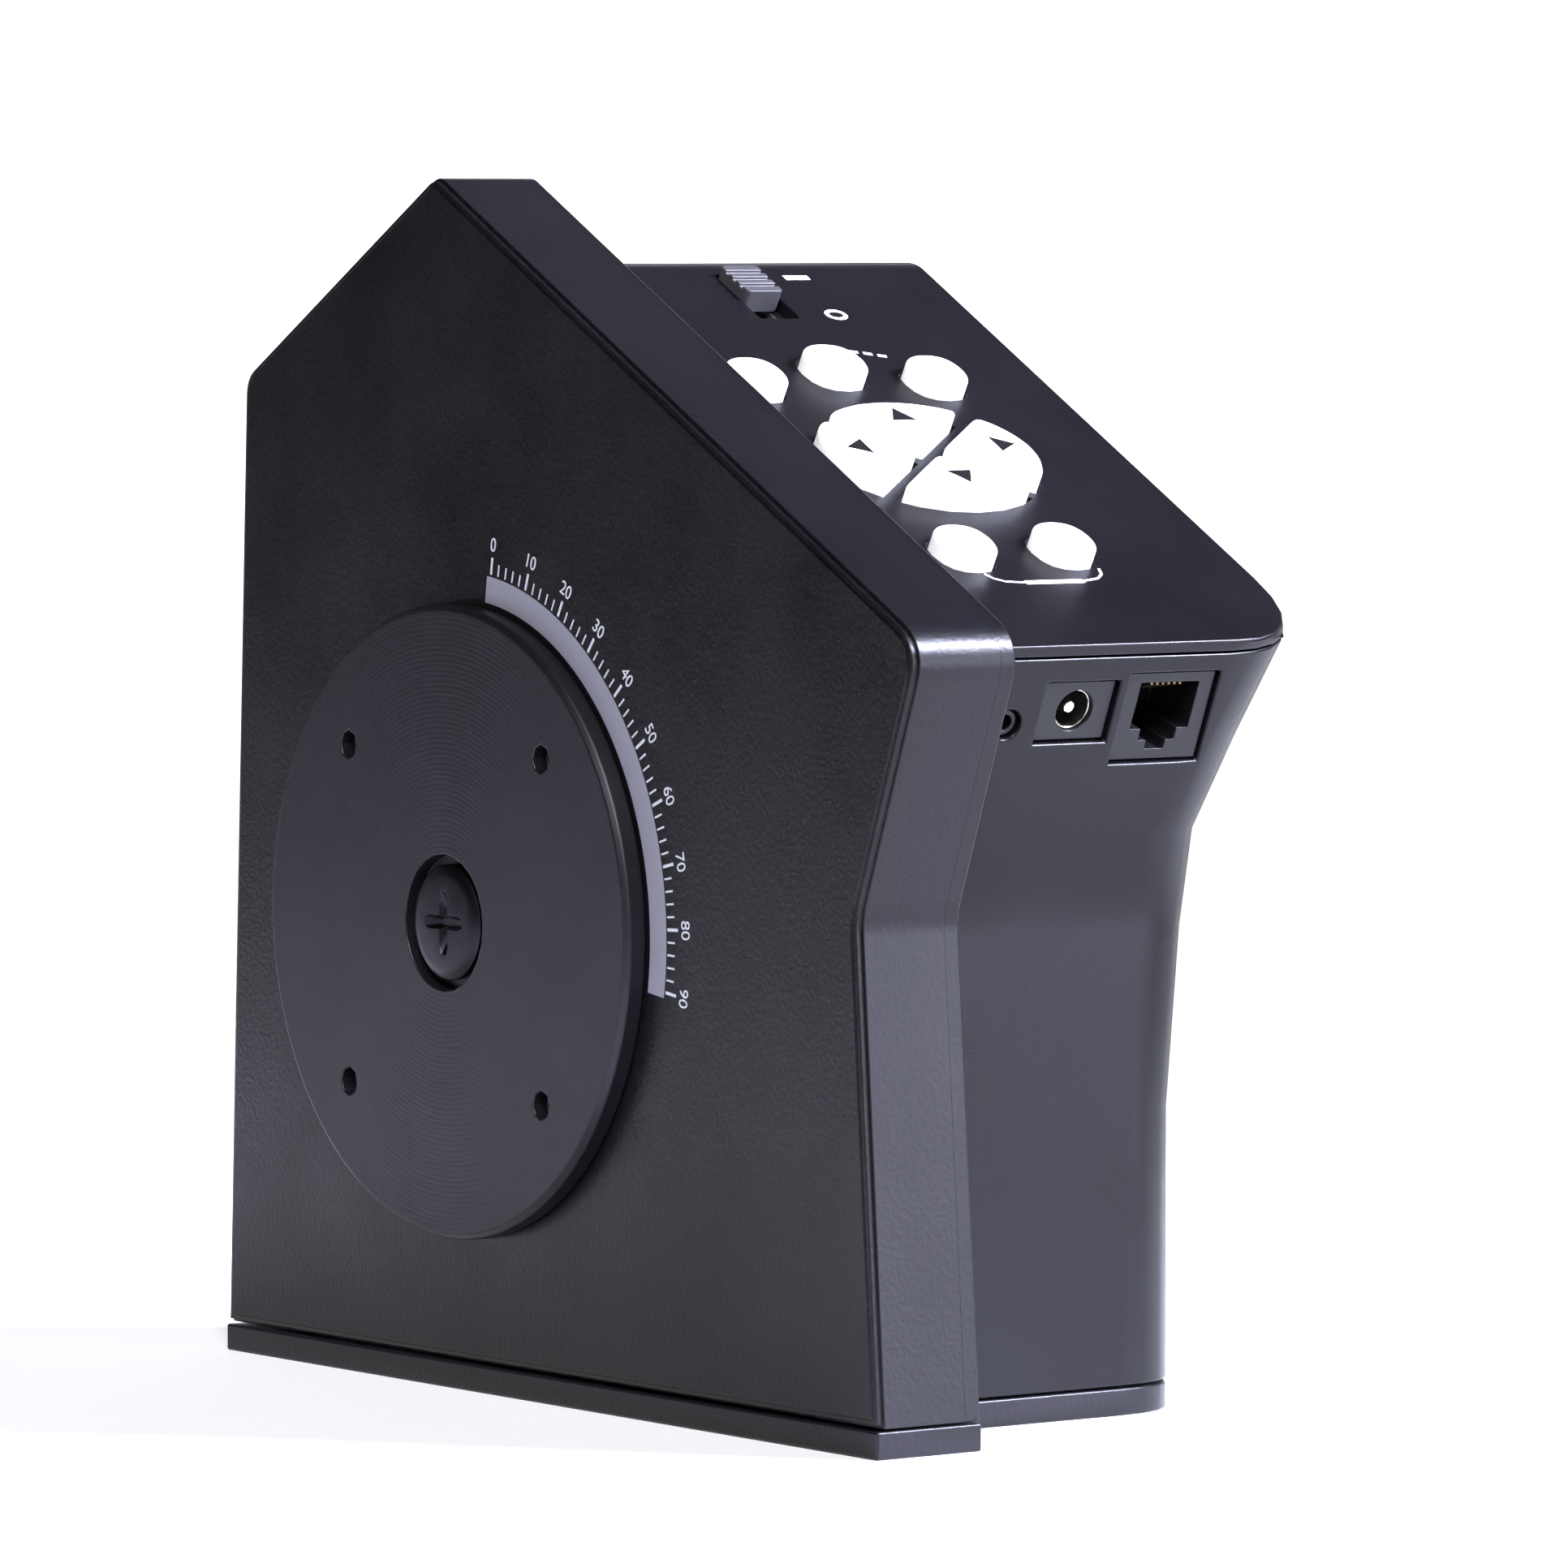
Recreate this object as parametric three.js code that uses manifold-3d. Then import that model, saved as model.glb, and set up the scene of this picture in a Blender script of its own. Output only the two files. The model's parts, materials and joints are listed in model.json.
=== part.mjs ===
// Keypad control head from the top of a single-arm telescope mount.
//
// Two moulded shells on a mid plate, a sloping keypad with nine sprung keys and a power slide,
// a port face with three sockets, and the motorised altitude hub on the inner side.
// Millimetres. +Z up, X through the head's thickness (the hub faces -X), the ports face -Y.
// The origin is the centre of the neck plate's underside, where the mount's arm carries the head.

import * as THREE from 'three';
import { mergeVertices } from 'three/addons/utils/BufferGeometryUtils.js';
import Module from 'manifold-3d';

const wasm = await Module();
wasm.setup();

// ---------------------------------------------------------------- driving dimensions

const GAP = 0.3;                 // between pieces that touch
const WALL = 2.6;                // moulded shells and mid plate

const HEIGHT = 178;              // neck plate to the roof's peak
const NECK_WIDTH = 73.6;         // thickness of the neck, along X
const NECK_DEPTH = 166;          // front to back at the neck, along Y
const INNER_THICKNESS = 17.9;    // inner shell with its mid plate

const PEAK_Y = 26.5;             // roof peak, behind the neck's centre
const ROOF_SLOPE = 28.5;         // degrees, front roof and keypad panel
const BACK_SLOPE = 30.5;         // degrees, roof behind the peak
const BACK_RUN = 51;             // peak to the rear corner
const FRONT_RUN = 119;           // peak to the front corner
const RETURN_DROP = 38.6;        // height of the slanted face under the front corner
const RETURN_RUN = 14.7;         // how far that face goes back
const FRONT_CORNER_R = 7;

const PANEL_DROP = 11.5;         // keypad panel below the inner shell's roof, measured upright
const RIDGE_R = 7;               // outer shell's ridge behind the panel
const PANEL_END_SETBACK = 18;    // panel's front edge behind the inner shell's front corner
const SHELL_SETBACK = 12;        // outer shell's back inside the inner shell's back
const PORT_FACE_RUN = 11.4;      // how far the port face goes back
const PORT_FACE_DROP = 27.7;     // and how far down
const HEAD_WIDTH = 67.4;         // outer shell at the panel, along X
const FRONT_CORNER_PLAN_R = 15;  // outer shell's front corner, seen from above
const BACK_CORNER_PLAN_R = 10;

const PANEL_THICKNESS = 1.8;
const KEY_PROUD = 3;             // key tops above the panel
const KEY_TRAVEL = 1;
const KEY_CLEARANCE = 0.35;
const KEY_FLANGE = 0.8;          // how far a key's rim reaches under the panel
const MAT_THICKNESS = 1;
const PILL_THICKNESS = 0.8;
const PILL_R = 2;
const BOARD_THICKNESS = 1.6;

const HUB_R = 46.5;
const HUB_THICKNESS = 3.4;
const HUB_BELOW_PEAK = 109;
const HUB_FORWARD = 8;           // hub axis in front of the roof's peak
const SHAFT_R = 6;
const BEARING_R = 11;
const BEARING_WIDTH = 6;
const RUNNING_CLEARANCE = 0.15;

const GEAR_MODULE = 1.2;
const WHEEL_TEETH = 50;
const PINION_TEETH = 10;
const GEAR_WIDTH = 6;
const MOTOR_R = 12;

const NECK_PLATE_THICKNESS = 4;

// ---------------------------------------------------------------- derived places

const RAD = Math.PI / 180;
const ROOF_TAN = Math.tan(ROOF_SLOPE * RAD);
const BACK_TAN = Math.tan(BACK_SLOPE * RAD);

const INNER_X = -NECK_WIDTH / 2;
const SPLIT_X = INNER_X + INNER_THICKNESS;
const MID_PLATE_X = SPLIT_X - WALL;
const SHELL_X = SPLIT_X + GAP;
const HEAD_X = SPLIT_X + HEAD_WIDTH;
const NECK_X = NECK_WIDTH / 2;
const SHELL_Z = NECK_PLATE_THICKNESS + GAP;
const NECK_FRONT_Y = -NECK_DEPTH / 2;
const NECK_BACK_Y = NECK_DEPTH / 2;

const FRONT_CORNER = [PEAK_Y - FRONT_RUN, HEIGHT - FRONT_RUN * ROOF_TAN];
const BACK_CORNER = [PEAK_Y + BACK_RUN, HEIGHT - BACK_RUN * BACK_TAN];
const RETURN_FOOT = [FRONT_CORNER[0] + RETURN_RUN, FRONT_CORNER[1] - RETURN_DROP];

const RIDGE = [PEAK_Y - 1, HEIGHT - PANEL_DROP - ROOF_TAN];
const PANEL_END_Y = FRONT_CORNER[0] + PANEL_END_SETBACK;
const PANEL_END = [PANEL_END_Y, RIDGE[1] - (RIDGE[0] - PANEL_END_Y) * ROOF_TAN];
const PORT_FOOT = [PANEL_END[0] + PORT_FACE_RUN, PANEL_END[1] - PORT_FACE_DROP];
const SHELL_FRONT_Y = PORT_FOOT[0] + 0.6;
const SHELL_BACK_Y = BACK_CORNER[0] - SHELL_SETBACK;

const HUB_Y = PEAK_Y - HUB_FORWARD;
const HUB_Z = HEIGHT - HUB_BELOW_PEAK;

// ---------------------------------------------------------------- solids

function solid(geometry) {
  const bare = new THREE.BufferGeometry();
  bare.setAttribute('position', geometry.getAttribute('position'));
  if (geometry.index) bare.setIndex(geometry.index);
  const merged = mergeVertices(bare, 1e-4);
  const triVerts = [];
  for (let i = 0; i < merged.index.count; i += 3) {
    const corners = [0, 1, 2].map((k) => merged.index.getX(i + k));
    if (new Set(corners).size === 3) triVerts.push(...corners);
  }
  return new wasm.Manifold(new wasm.Mesh({
    numProp: 3,
    vertProperties: Float32Array.from(merged.getAttribute('position').array),
    triVerts: Uint32Array.from(triVerts),
  }));
}

const join = (first, ...others) => others.reduce((sum, other) => sum.add(other), first);
const cut = (first, ...others) => others.reduce((rest, other) => rest.subtract(other), first);

function geometryOf(manifold) {
  const { vertProperties, triVerts } = manifold.getMesh();
  const geometry = new THREE.BufferGeometry();
  geometry.setAttribute('position', new THREE.BufferAttribute(new Float32Array(vertProperties), 3));
  geometry.setIndex([...triVerts]);
  geometry.computeVertexNormals();
  return geometry;
}

// A frame given by where its own x and y axes point, and its origin.
function frameAt(origin, xAxis, yAxis) {
  const x = new THREE.Vector3(...xAxis).normalize();
  const y = new THREE.Vector3(...yAxis).normalize();
  const z = new THREE.Vector3().crossVectors(x, y);
  return new THREE.Matrix4().makeBasis(x, y, z).setPosition(...origin);
}

const WORLD = new THREE.Matrix4();
// Outlines drawn in Y and Z, pushed along X.
const SIDEWAYS = frameAt([0, 0, 0], [0, 1, 0], [0, 0, 1]);
// Outlines drawn in Y and Z about the altitude axis, pushed along X.
const HUB_FRAME = frameAt([0, HUB_Y, HUB_Z], [0, 1, 0], [0, 0, 1]);
// On the keypad panel: x across, y up the slope from the ridge, z out of the face.
const PANEL_FRAME = frameAt([0, ...RIDGE], [1, 0, 0], [0, 1, ROOF_TAN]);
// On the port face: x across, y up the face from the panel's front edge, z out of the face.
const PORT_FRAME = frameAt([0, ...PANEL_END], [1, 0, 0], [0, -PORT_FACE_RUN, PORT_FACE_DROP]);

const FAR = 300;                 // beyond the whole part, for solids that only cut or trim

function prism(shape, low, high, frame = WORLD, curveSegments = 6) {
  const geometry = new THREE.ExtrudeGeometry(shape, {
    depth: high - low,
    bevelEnabled: false,
    curveSegments,
  });
  geometry.translate(0, 0, low);
  geometry.applyMatrix4(frame);
  return solid(geometry);
}

function block(low, high, frame = WORLD) {
  const size = high.map((value, i) => value - low[i]);
  const geometry = new THREE.BoxGeometry(...size);
  geometry.translate(...high.map((value, i) => (value + low[i]) / 2));
  geometry.applyMatrix4(frame);
  return solid(geometry);
}

// A round piece about a frame's z axis through (x, y), from z = low to high.
function rod(radius, low, high, frame = WORLD, x = 0, y = 0, sides = 20) {
  const geometry = new THREE.CylinderGeometry(radius, radius, high - low, sides);
  geometry.rotateX(Math.PI / 2);
  geometry.translate(x, y, (low + high) / 2);
  geometry.applyMatrix4(frame);
  return solid(geometry);
}

function polygon(points) {
  return new THREE.Shape(points.map(([x, y]) => new THREE.Vector2(x, y)));
}

function rectangle(width, height, x = 0, y = 0) {
  return [
    [x - width / 2, y - height / 2],
    [x + width / 2, y - height / 2],
    [x + width / 2, y + height / 2],
    [x - width / 2, y + height / 2],
  ];
}

// A closed outline whose corners are eased by the radii given one for each point.
function rounded(points, radii) {
  const shape = new THREE.Shape();
  points.forEach((point, i) => {
    const at = new THREE.Vector2(...point);
    const before = new THREE.Vector2(...points.at(i - 1)).sub(at);
    const after = new THREE.Vector2(...points[(i + 1) % points.length]).sub(at);
    const radius = Array.isArray(radii) ? radii[i] : radii;
    const half = Math.acos(before.clone().normalize().dot(after.clone().normalize())) / 2;
    const reach = Math.min(radius / Math.tan(half), before.length() * 0.49, after.length() * 0.49);
    const start = before.setLength(reach).add(at);
    const end = after.setLength(reach).add(at);
    if (i === 0) shape.moveTo(start.x, start.y);
    else shape.lineTo(start.x, start.y);
    if (reach > 0) shape.quadraticCurveTo(at.x, at.y, end.x, end.y);
  });
  shape.closePath();
  return shape;
}

// The outline moved inwards by a distance; points run anticlockwise.
function inset(points, distance) {
  const lines = points.map((point, i) => {
    const from = new THREE.Vector2(...point);
    const along = new THREE.Vector2(...points[(i + 1) % points.length]).sub(from).normalize();
    const inward = new THREE.Vector2(-along.y, along.x).multiplyScalar(distance);
    return { from: from.add(inward), along };
  });
  return lines.map((line, i) => {
    const other = lines.at(i - 1);
    const gap = line.from.clone().sub(other.from);
    const reach = gap.cross(line.along) / other.along.cross(line.along);
    const meet = other.from.clone().addScaledVector(other.along, reach);
    return [meet.x, meet.y];
  });
}

// ---------------------------------------------------------------- materials

function finish(color, roughness, metalness = 0) {
  return new THREE.MeshStandardMaterial({ color, roughness, metalness });
}

const BLACK_ABS = finish(0x1b1b1f, 0.55);
const PANEL_ABS = finish(0x2a282e, 0.6);
const SILICONE = finish(0xf4f6ff, 0.5);
const MAT_SILICONE = finish(0xd8dbe0, 0.6);
const CARBON = finish(0x17181a, 0.8);
const BOARD = finish(0x1f5a3a, 0.5);
const JACK_NYLON = finish(0x0d0d0e, 0.4);
const STEEL = finish(0xb9bcc0, 0.35, 1);
const ALUMINIUM = finish(0x2b2c30, 0.4, 0.6);
const BRASS = finish(0xc2a35a, 0.35, 1);
const SLIDER_GREY = finish(0x8b8b93, 0.5);

const head = new THREE.Group();

function add(name, shape, material) {
  const mesh = new THREE.Mesh(geometryOf(shape), material);
  mesh.name = name;
  head.add(mesh);
}

// ---------------------------------------------------------------- inner shell and mid plate

const INNER_OUTLINE = [
  [NECK_FRONT_Y, SHELL_Z],
  [NECK_BACK_Y, SHELL_Z],
  BACK_CORNER,
  [PEAK_Y, HEIGHT],
  FRONT_CORNER,
  RETURN_FOOT,
];
const INNER_RADII = [0, 0, 5, 3, FRONT_CORNER_R, 12];
const FOOT_CORNER = INNER_OUTLINE.indexOf(RETURN_FOOT); // the one hollow corner
const INNER_EDGE = 1.2;          // broken edge round the inner face

const CASE_BOSS_R = 4.5;
const CASE_SCREW_R = 1.5;
const CASE_HEAD_R = 3;
const CASE_HEAD_X = SPLIT_X + 8;
const CASE_SCREWS = [
  [SHELL_FRONT_Y + 10, SHELL_Z + 18],
  [SHELL_BACK_Y - 6, SHELL_Z + 18],
  [SHELL_BACK_Y - 12, HEIGHT - 52],
  [SHELL_FRONT_Y + 10, PORT_FOOT[1] - 12],
];
const NECK_BOSS_R = 4;
const NECK_BOSS_TOP = SHELL_Z + 11;
const INNER_NECK_SCREWS = [
  [(INNER_X + MID_PLATE_X) / 2, NECK_FRONT_Y + 12],
  [(INNER_X + MID_PLATE_X) / 2, NECK_BACK_Y - 12],
];
const HUB_BOSS_R = BEARING_R + 3.5;
const INNER_BEARING_X = INNER_X + WALL + GAP;

function innerOutline(distance) {
  const grow = (i) => (i === FOOT_CORNER ? distance : -distance);
  const radii = INNER_RADII.map((radius, i) => Math.max(0, radius + grow(i)));
  return rounded(inset(INNER_OUTLINE, distance), radii);
}

// A prism of the inner outline with its edge broken at the low end.
function edgedPrism(low, high, edge) {
  const face = prism(innerOutline(edge), low, high, SIDEWAYS);
  const shoulder = prism(innerOutline(edge * 0.4), low + edge * 0.25, high, SIDEWAYS);
  return join(face, shoulder, prism(innerOutline(0), low + edge, high, SIDEWAYS));
}

function innerShell() {
  const rim = MID_PLATE_X - GAP;
  let tray = edgedPrism(INNER_X, rim, INNER_EDGE);
  tray = cut(tray, prism(innerOutline(WALL), INNER_X + WALL, rim + 1, SIDEWAYS));
  const boss = rod(HUB_BOSS_R, INNER_X + 1, INNER_BEARING_X + BEARING_WIDTH + GAP, HUB_FRAME, 0, 0, 24);
  tray = join(tray, boss);
  for (const [y, z] of CASE_SCREWS) {
    tray = join(tray, rod(CASE_BOSS_R, INNER_X + 1, rim, SIDEWAYS, y, z, 12));
    tray = cut(tray, rod(CASE_SCREW_R, INNER_X + WALL + 2, rim + 1, SIDEWAYS, y, z, 8));
  }
  for (const [x, y] of INNER_NECK_SCREWS) {
    const low = [INNER_X + 1, y - NECK_BOSS_R, SHELL_Z];
    const high = [x + NECK_BOSS_R, y + NECK_BOSS_R, NECK_BOSS_TOP];
    tray = join(tray, block(low, high));
    tray = cut(tray, rod(CASE_SCREW_R, SHELL_Z - 1, NECK_BOSS_TOP - 2, WORLD, x, y, 8));
  }
  const bearingSeat = rod(BEARING_R + RUNNING_CLEARANCE, INNER_X + WALL, 0, HUB_FRAME, 0, 0, 24);
  const shaftHole = rod(SHAFT_R + 1.5, INNER_X - 1, 0, HUB_FRAME, 0, 0, 24);
  return cut(tray, bearingSeat, shaftHole);
}

const CHASSIS_OUTLINE = {
  front: HUB_Y - 56,
  back: HUB_Y + 27,
  bottom: HUB_Z - 55,
  top: HUB_Z + 46,
};
const CHASSIS_LEDGE = 6;
const CHASSIS_THICKNESS = 2.5;
const CHASSIS_X = SPLIT_X + GAP;

function chassisRectangle(distance) {
  const { front, back, bottom, top } = CHASSIS_OUTLINE;
  return inset([[front, bottom], [back, bottom], [back, top], [front, top]], distance);
}

const CHASSIS_SCREWS = chassisRectangle(CHASSIS_LEDGE / 2);

function midPlate() {
  let plate = prism(innerOutline(0), MID_PLATE_X, SPLIT_X, SIDEWAYS);
  const opening = rounded(chassisRectangle(CHASSIS_LEDGE), 6);
  plate = cut(plate, prism(opening, MID_PLATE_X - 1, SPLIT_X + 1, SIDEWAYS));
  for (const [y, z] of CASE_SCREWS) {
    plate = cut(plate, rod(CASE_SCREW_R + GAP, MID_PLATE_X - 1, SPLIT_X + 1, SIDEWAYS, y, z, 8));
  }
  for (const [y, z] of CHASSIS_SCREWS) {
    plate = cut(plate, rod(CASE_SCREW_R, MID_PLATE_X - 1, SPLIT_X + 1, SIDEWAYS, y, z, 8));
  }
  return plate;
}

add('inner_shell', innerShell(), BLACK_ABS);
add('mid_plate', midPlate(), BLACK_ABS);

// ---------------------------------------------------------------- outer shell

// The head flares out above the neck: how far its outer wall stands from the neck's outer wall,
// at heights measured from the panel's front edge.
const FLARE = [
  [54, HEAD_X - NECK_X + 1.5],
  [0, HEAD_X - NECK_X],
  [-PORT_FACE_DROP / 2, (HEAD_X - NECK_X) * 0.65],
  [-PORT_FACE_DROP, (HEAD_X - NECK_X) * 0.36],
  [-PORT_FACE_DROP - 14, (HEAD_X - NECK_X) * 0.2],
  [-PORT_FACE_DROP - 40, 0],
];

function levels() {
  const bottom = { z: SHELL_Z - 1, outer: NECK_X, front: SHELL_FRONT_Y, back: NECK_BACK_Y - SHELL_SETBACK };
  const rest = FLARE.map(([above, flare]) => {
    const z = PANEL_END[1] + above;
    const share = (z - SHELL_Z) / (BACK_CORNER[1] - SHELL_Z);
    const down = THREE.MathUtils.clamp(-above / PORT_FACE_DROP, 0, 1);
    return {
      z,
      outer: NECK_X + flare,
      front: above < -PORT_FACE_DROP ? SHELL_FRONT_Y : PANEL_END[0] + down * PORT_FACE_RUN,
      back: THREE.MathUtils.lerp(bottom.back, SHELL_BACK_Y, share),
    };
  });
  return [bottom, ...rest.reverse()];
}

// The plan is drawn at this size, then its sides are moved out to where each level has them.
const PLAN = { width: 50, depth: 100 };

// The flared body as a stack of plan outlines, all moved inwards by a distance.
function flaredBody(distance) {
  const stack = levels();
  const plan = rounded(
    rectangle(PLAN.width, PLAN.depth),
    [0, FRONT_CORNER_PLAN_R - distance, BACK_CORNER_PLAN_R - distance, 0],
  );
  const geometry = new THREE.ExtrudeGeometry(plan, {
    depth: stack.length - 1,
    steps: stack.length - 1,
    bevelEnabled: false,
    curveSegments: 6,
  });
  const position = geometry.getAttribute('position');
  for (let i = 0; i < position.count; i += 1) {
    const level = stack[Math.round(position.getZ(i))];
    const x = position.getX(i);
    const y = position.getY(i);
    const outer = x - PLAN.width / 2 + level.outer - distance;
    const inner = x + PLAN.width / 2 + SHELL_X - (distance > 0 ? 1 : 0);
    const front = y + PLAN.depth / 2 + level.front + distance;
    const back = y - PLAN.depth / 2 + level.back - distance;
    position.setXYZ(i, x > 0 ? outer : inner, y < 0 ? front : back, level.z);
  }
  return solid(geometry);
}

// Everything under the two roof slopes, moved inwards by a distance.
function underRoof(distance) {
  const frontDrop = distance / Math.cos(ROOF_SLOPE * RAD);
  const backDrop = distance / Math.cos(BACK_SLOPE * RAD);
  const ridgeShift = (frontDrop - backDrop) / (ROOF_TAN + BACK_TAN);
  const ridgeZ = RIDGE[1] - frontDrop + ridgeShift * ROOF_TAN;
  const points = [
    [RIDGE[0] + ridgeShift, ridgeZ],
    [RIDGE[0] - FAR, ridgeZ - (FAR + ridgeShift) * ROOF_TAN],
    [RIDGE[0] - FAR, -FAR],
    [RIDGE[0] + FAR, -FAR],
    [RIDGE[0] + FAR, ridgeZ - (FAR - ridgeShift) * BACK_TAN],
  ];
  return prism(rounded(points, [RIDGE_R - distance, 0, 0, 0, 0]), -FAR, FAR, SIDEWAYS);
}

const NECK_TRIM = block([-FAR, -FAR, -FAR], [FAR, FAR, SHELL_Z]);
const PORTS = {
  snap: { x: SPLIT_X + 14.6, y: -12.1, width: 6, nose: 2, hole: 1.2 },
  power: { x: SPLIT_X + 26.6, y: -10.6, width: 12.4, height: 9 },
  serial: { x: SPLIT_X + 42.8, y: -11.9, width: 15.6, height: 13.6 },
};
const JACK_BOTTOM = -18.9;
const JACK_SET_BACK = 0.8;
const JACK_DEPTH = 12.5;
const MAIN_BOARD_TOP = JACK_BOTTOM - GAP;
const MAIN_BOARD = { inner: SPLIT_X + 5.1, outer: SPLIT_X + 49.1, start: 4.6, end: 38 };
const RIB_TOP = MAIN_BOARD_TOP - BOARD_THICKNESS - GAP;
const BOARD_SCREWS = [[SPLIT_X + 9.1, 30], [SPLIT_X + 40.1, 30]];
const BOARD_SCREW_R = 1.1;
const BOARD_SHELF = { width: 6, thickness: 2 };
// Through the main board: x across, y into the head, z up the port face.
const BOARD_FRAME = PORT_FRAME.clone().multiply(frameAt([0, 0, 0], [1, 0, 0], [0, 0, -1]));
const OUTER_NECK_SCREWS = [
  [NECK_X - 10, SHELL_FRONT_Y + 12],
  [NECK_X - 10, NECK_BACK_Y - SHELL_SETBACK - 12],
];

function wholeHead() {
  return cut(flaredBody(0).intersect(underRoof(0)), NECK_TRIM);
}

// The layer that the keypad panel fills, as thick as given, back to the ridge.
function panelLayer(thickness, gap) {
  const drop = thickness / Math.cos(ROOF_SLOPE * RAD);
  const back = RIDGE[0] + gap;
  const at = (y, below) => [y, RIDGE[1] + (y - RIDGE[0]) * ROOF_TAN - below];
  const outline = polygon([at(-FAR, drop), at(back, drop), at(back, -WALL), at(-FAR, -WALL)]);
  return prism(outline, -FAR, FAR, SIDEWAYS);
}

function outerShell() {
  const panelOpening = block(
    [SHELL_X - 2, PANEL_END[0] + 6, PANEL_END[1] - 4],
    [HEAD_X + 20, RIDGE[0] - 2, HEIGHT + 20],
  );
  const hollow = flaredBody(WALL).intersect(join(underRoof(WALL), panelOpening));
  let shell = cut(wholeHead(), hollow, panelLayer(PANEL_THICKNESS + GAP, GAP));

  // Shelves under the main board, along the port frame's depth.
  for (const [x, depth] of BOARD_SCREWS) {
    const low = [x - BOARD_SHELF.width / 2, RIB_TOP - BOARD_SHELF.thickness, -depth - 4];
    const high = [x + BOARD_SHELF.width / 2, RIB_TOP, -WALL + 0.6];
    shell = join(shell, block(low, high, PORT_FRAME));
  }
  // Long posts that carry the case screws from the outer wall down to the mid plate.
  const insideHead = wholeHead();
  for (const [y, z] of CASE_SCREWS) {
    const post = rod(CASE_BOSS_R, SHELL_X, HEAD_X + 20, SIDEWAYS, y, z, 12);
    shell = join(shell, post.intersect(insideHead));
  }
  for (const [x, y] of OUTER_NECK_SCREWS) {
    shell = join(shell, rod(NECK_BOSS_R, SHELL_Z, NECK_BOSS_TOP, WORLD, x, y, 12));
    const web = block([x, y - 1.2, SHELL_Z], [NECK_X - 1, y + 1.2, NECK_BOSS_TOP]);
    shell = join(shell, web);
    shell = cut(shell, rod(CASE_SCREW_R, SHELL_Z - 1, NECK_BOSS_TOP - 2, WORLD, x, y, 8));
  }
  for (const [y, z] of CASE_SCREWS) {
    shell = cut(shell, rod(CASE_HEAD_R + GAP, CASE_HEAD_X - GAP, HEAD_X + 40, SIDEWAYS, y, z, 12));
    shell = cut(shell, rod(CASE_SCREW_R + GAP, SHELL_X - 1, HEAD_X, SIDEWAYS, y, z, 8));
  }
  for (const [x, depth] of BOARD_SCREWS) {
    shell = cut(shell, rod(BOARD_SCREW_R, RIB_TOP - 1.4, RIB_TOP + 1, BOARD_FRAME, x, depth, 8));
  }

  const window = ({ x, y, width, height }) => block(
    [x - width / 2 - GAP, y - height / 2 - GAP, -8],
    [x + width / 2 + GAP, y + height / 2 + GAP, 5],
    PORT_FRAME,
  );
  const snapHole = rod(PORTS.snap.nose + GAP, -8, 5, PORT_FRAME, PORTS.snap.x, PORTS.snap.y, 20);
  return cut(shell, window(PORTS.power), window(PORTS.serial), snapHole);
}

// ---------------------------------------------------------------- keypad

const LAYOUT_X = SPLIT_X + 30.8; // keypad's centre line
const ROUND_KEYS = {
  key_top_left: { x: LAYOUT_X - 16.4, y: -39.2, width: 9.4, height: 9.2 },
  key_top_centre: { x: LAYOUT_X, y: -35.8, width: 9.8, height: 9.6 },
  key_top_right: { x: LAYOUT_X + 16.4, y: -39.2, width: 9.4, height: 9.2 },
  key_bottom_left: { x: LAYOUT_X - 11, y: -88.3, width: 9.4, height: 9.4 },
  key_bottom_right: { x: LAYOUT_X + 6.8, y: -88.3, width: 9.4, height: 9.4 },
};
const PAD = { x: LAYOUT_X, y: -62.3, width: 36.6, height: 27.8, gap: 2.5 };
const ARROWS = { key_right: 0, key_up: 90, key_left: 180, key_down: 270 };
const MAT_TOP = -PANEL_THICKNESS - GAP;
const KEY_FOOT = MAT_TOP - MAT_THICKNESS;
const PILL_TOP = KEY_FOOT - GAP;
const PILL_FOOT = PILL_TOP - PILL_THICKNESS;
const BOARD_TOP = PILL_FOOT - KEY_TRAVEL - 0.2;
const BOARD_FOOT = BOARD_TOP - BOARD_THICKNESS;
const KEYPAD_BOARD = { inner: SPLIT_X + 3.1, outer: SPLIT_X + 61.1, back: -4.5, front: -97.2 };
const KEYPAD_SCREWS = [-20, -80].flatMap((y) => [[KEYPAD_BOARD.inner + 3, y], [KEYPAD_BOARD.outer - 4, y]]);
const KEYPAD_POST_R = 2.6;
const SLOT = { x: LAYOUT_X + 1.6, y: -12.2, width: 7.4, length: 13.6 };
const SLIDER = { width: 6.6, length: 8, proud: 1.8 };
const SLIDER_TRAVEL = SLOT.length - SLIDER.length - 2 * KEY_CLEARANCE;
const SWITCH = { width: 9, length: 15.4 };

function roundKeyOutline({ x, y, width, height }, grow) {
  const points = rectangle(width + 2 * grow, height + 2 * grow, x, y);
  return rounded(points, Math.min(width, height) * 0.62);
}

// One quarter of the direction pad: an oval cut by two slanting gaps.
function arrowKey(angle, grow, low, high) {
  const oval = new THREE.Shape();
  oval.absellipse(PAD.x, PAD.y, PAD.width / 2 + grow, PAD.height / 2 + grow, 0, 2 * Math.PI);
  const sideways = angle % 180 === 0;
  const reach = 40;
  const slant = PAD.height / PAD.width;
  const gap = PAD.gap / 2 - grow;
  const tip = gap * Math.hypot(1, slant) / (sideways ? slant : 1);
  const along = angle === 0 || angle === 90 ? 1 : -1;
  const wide = sideways ? (reach - tip) * slant : (reach - tip) / slant;
  const wedge = sideways
    ? [[tip, 0], [reach, wide], [reach, -wide]]
    : [[0, tip], [wide, reach], [-wide, reach]];
  const placed = wedge.map(([x, y]) => [PAD.x + x * along, PAD.y + y * along]);
  return prism(oval, low, high, PANEL_FRAME, 12).intersect(prism(polygon(placed), low, high, PANEL_FRAME));
}

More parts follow.
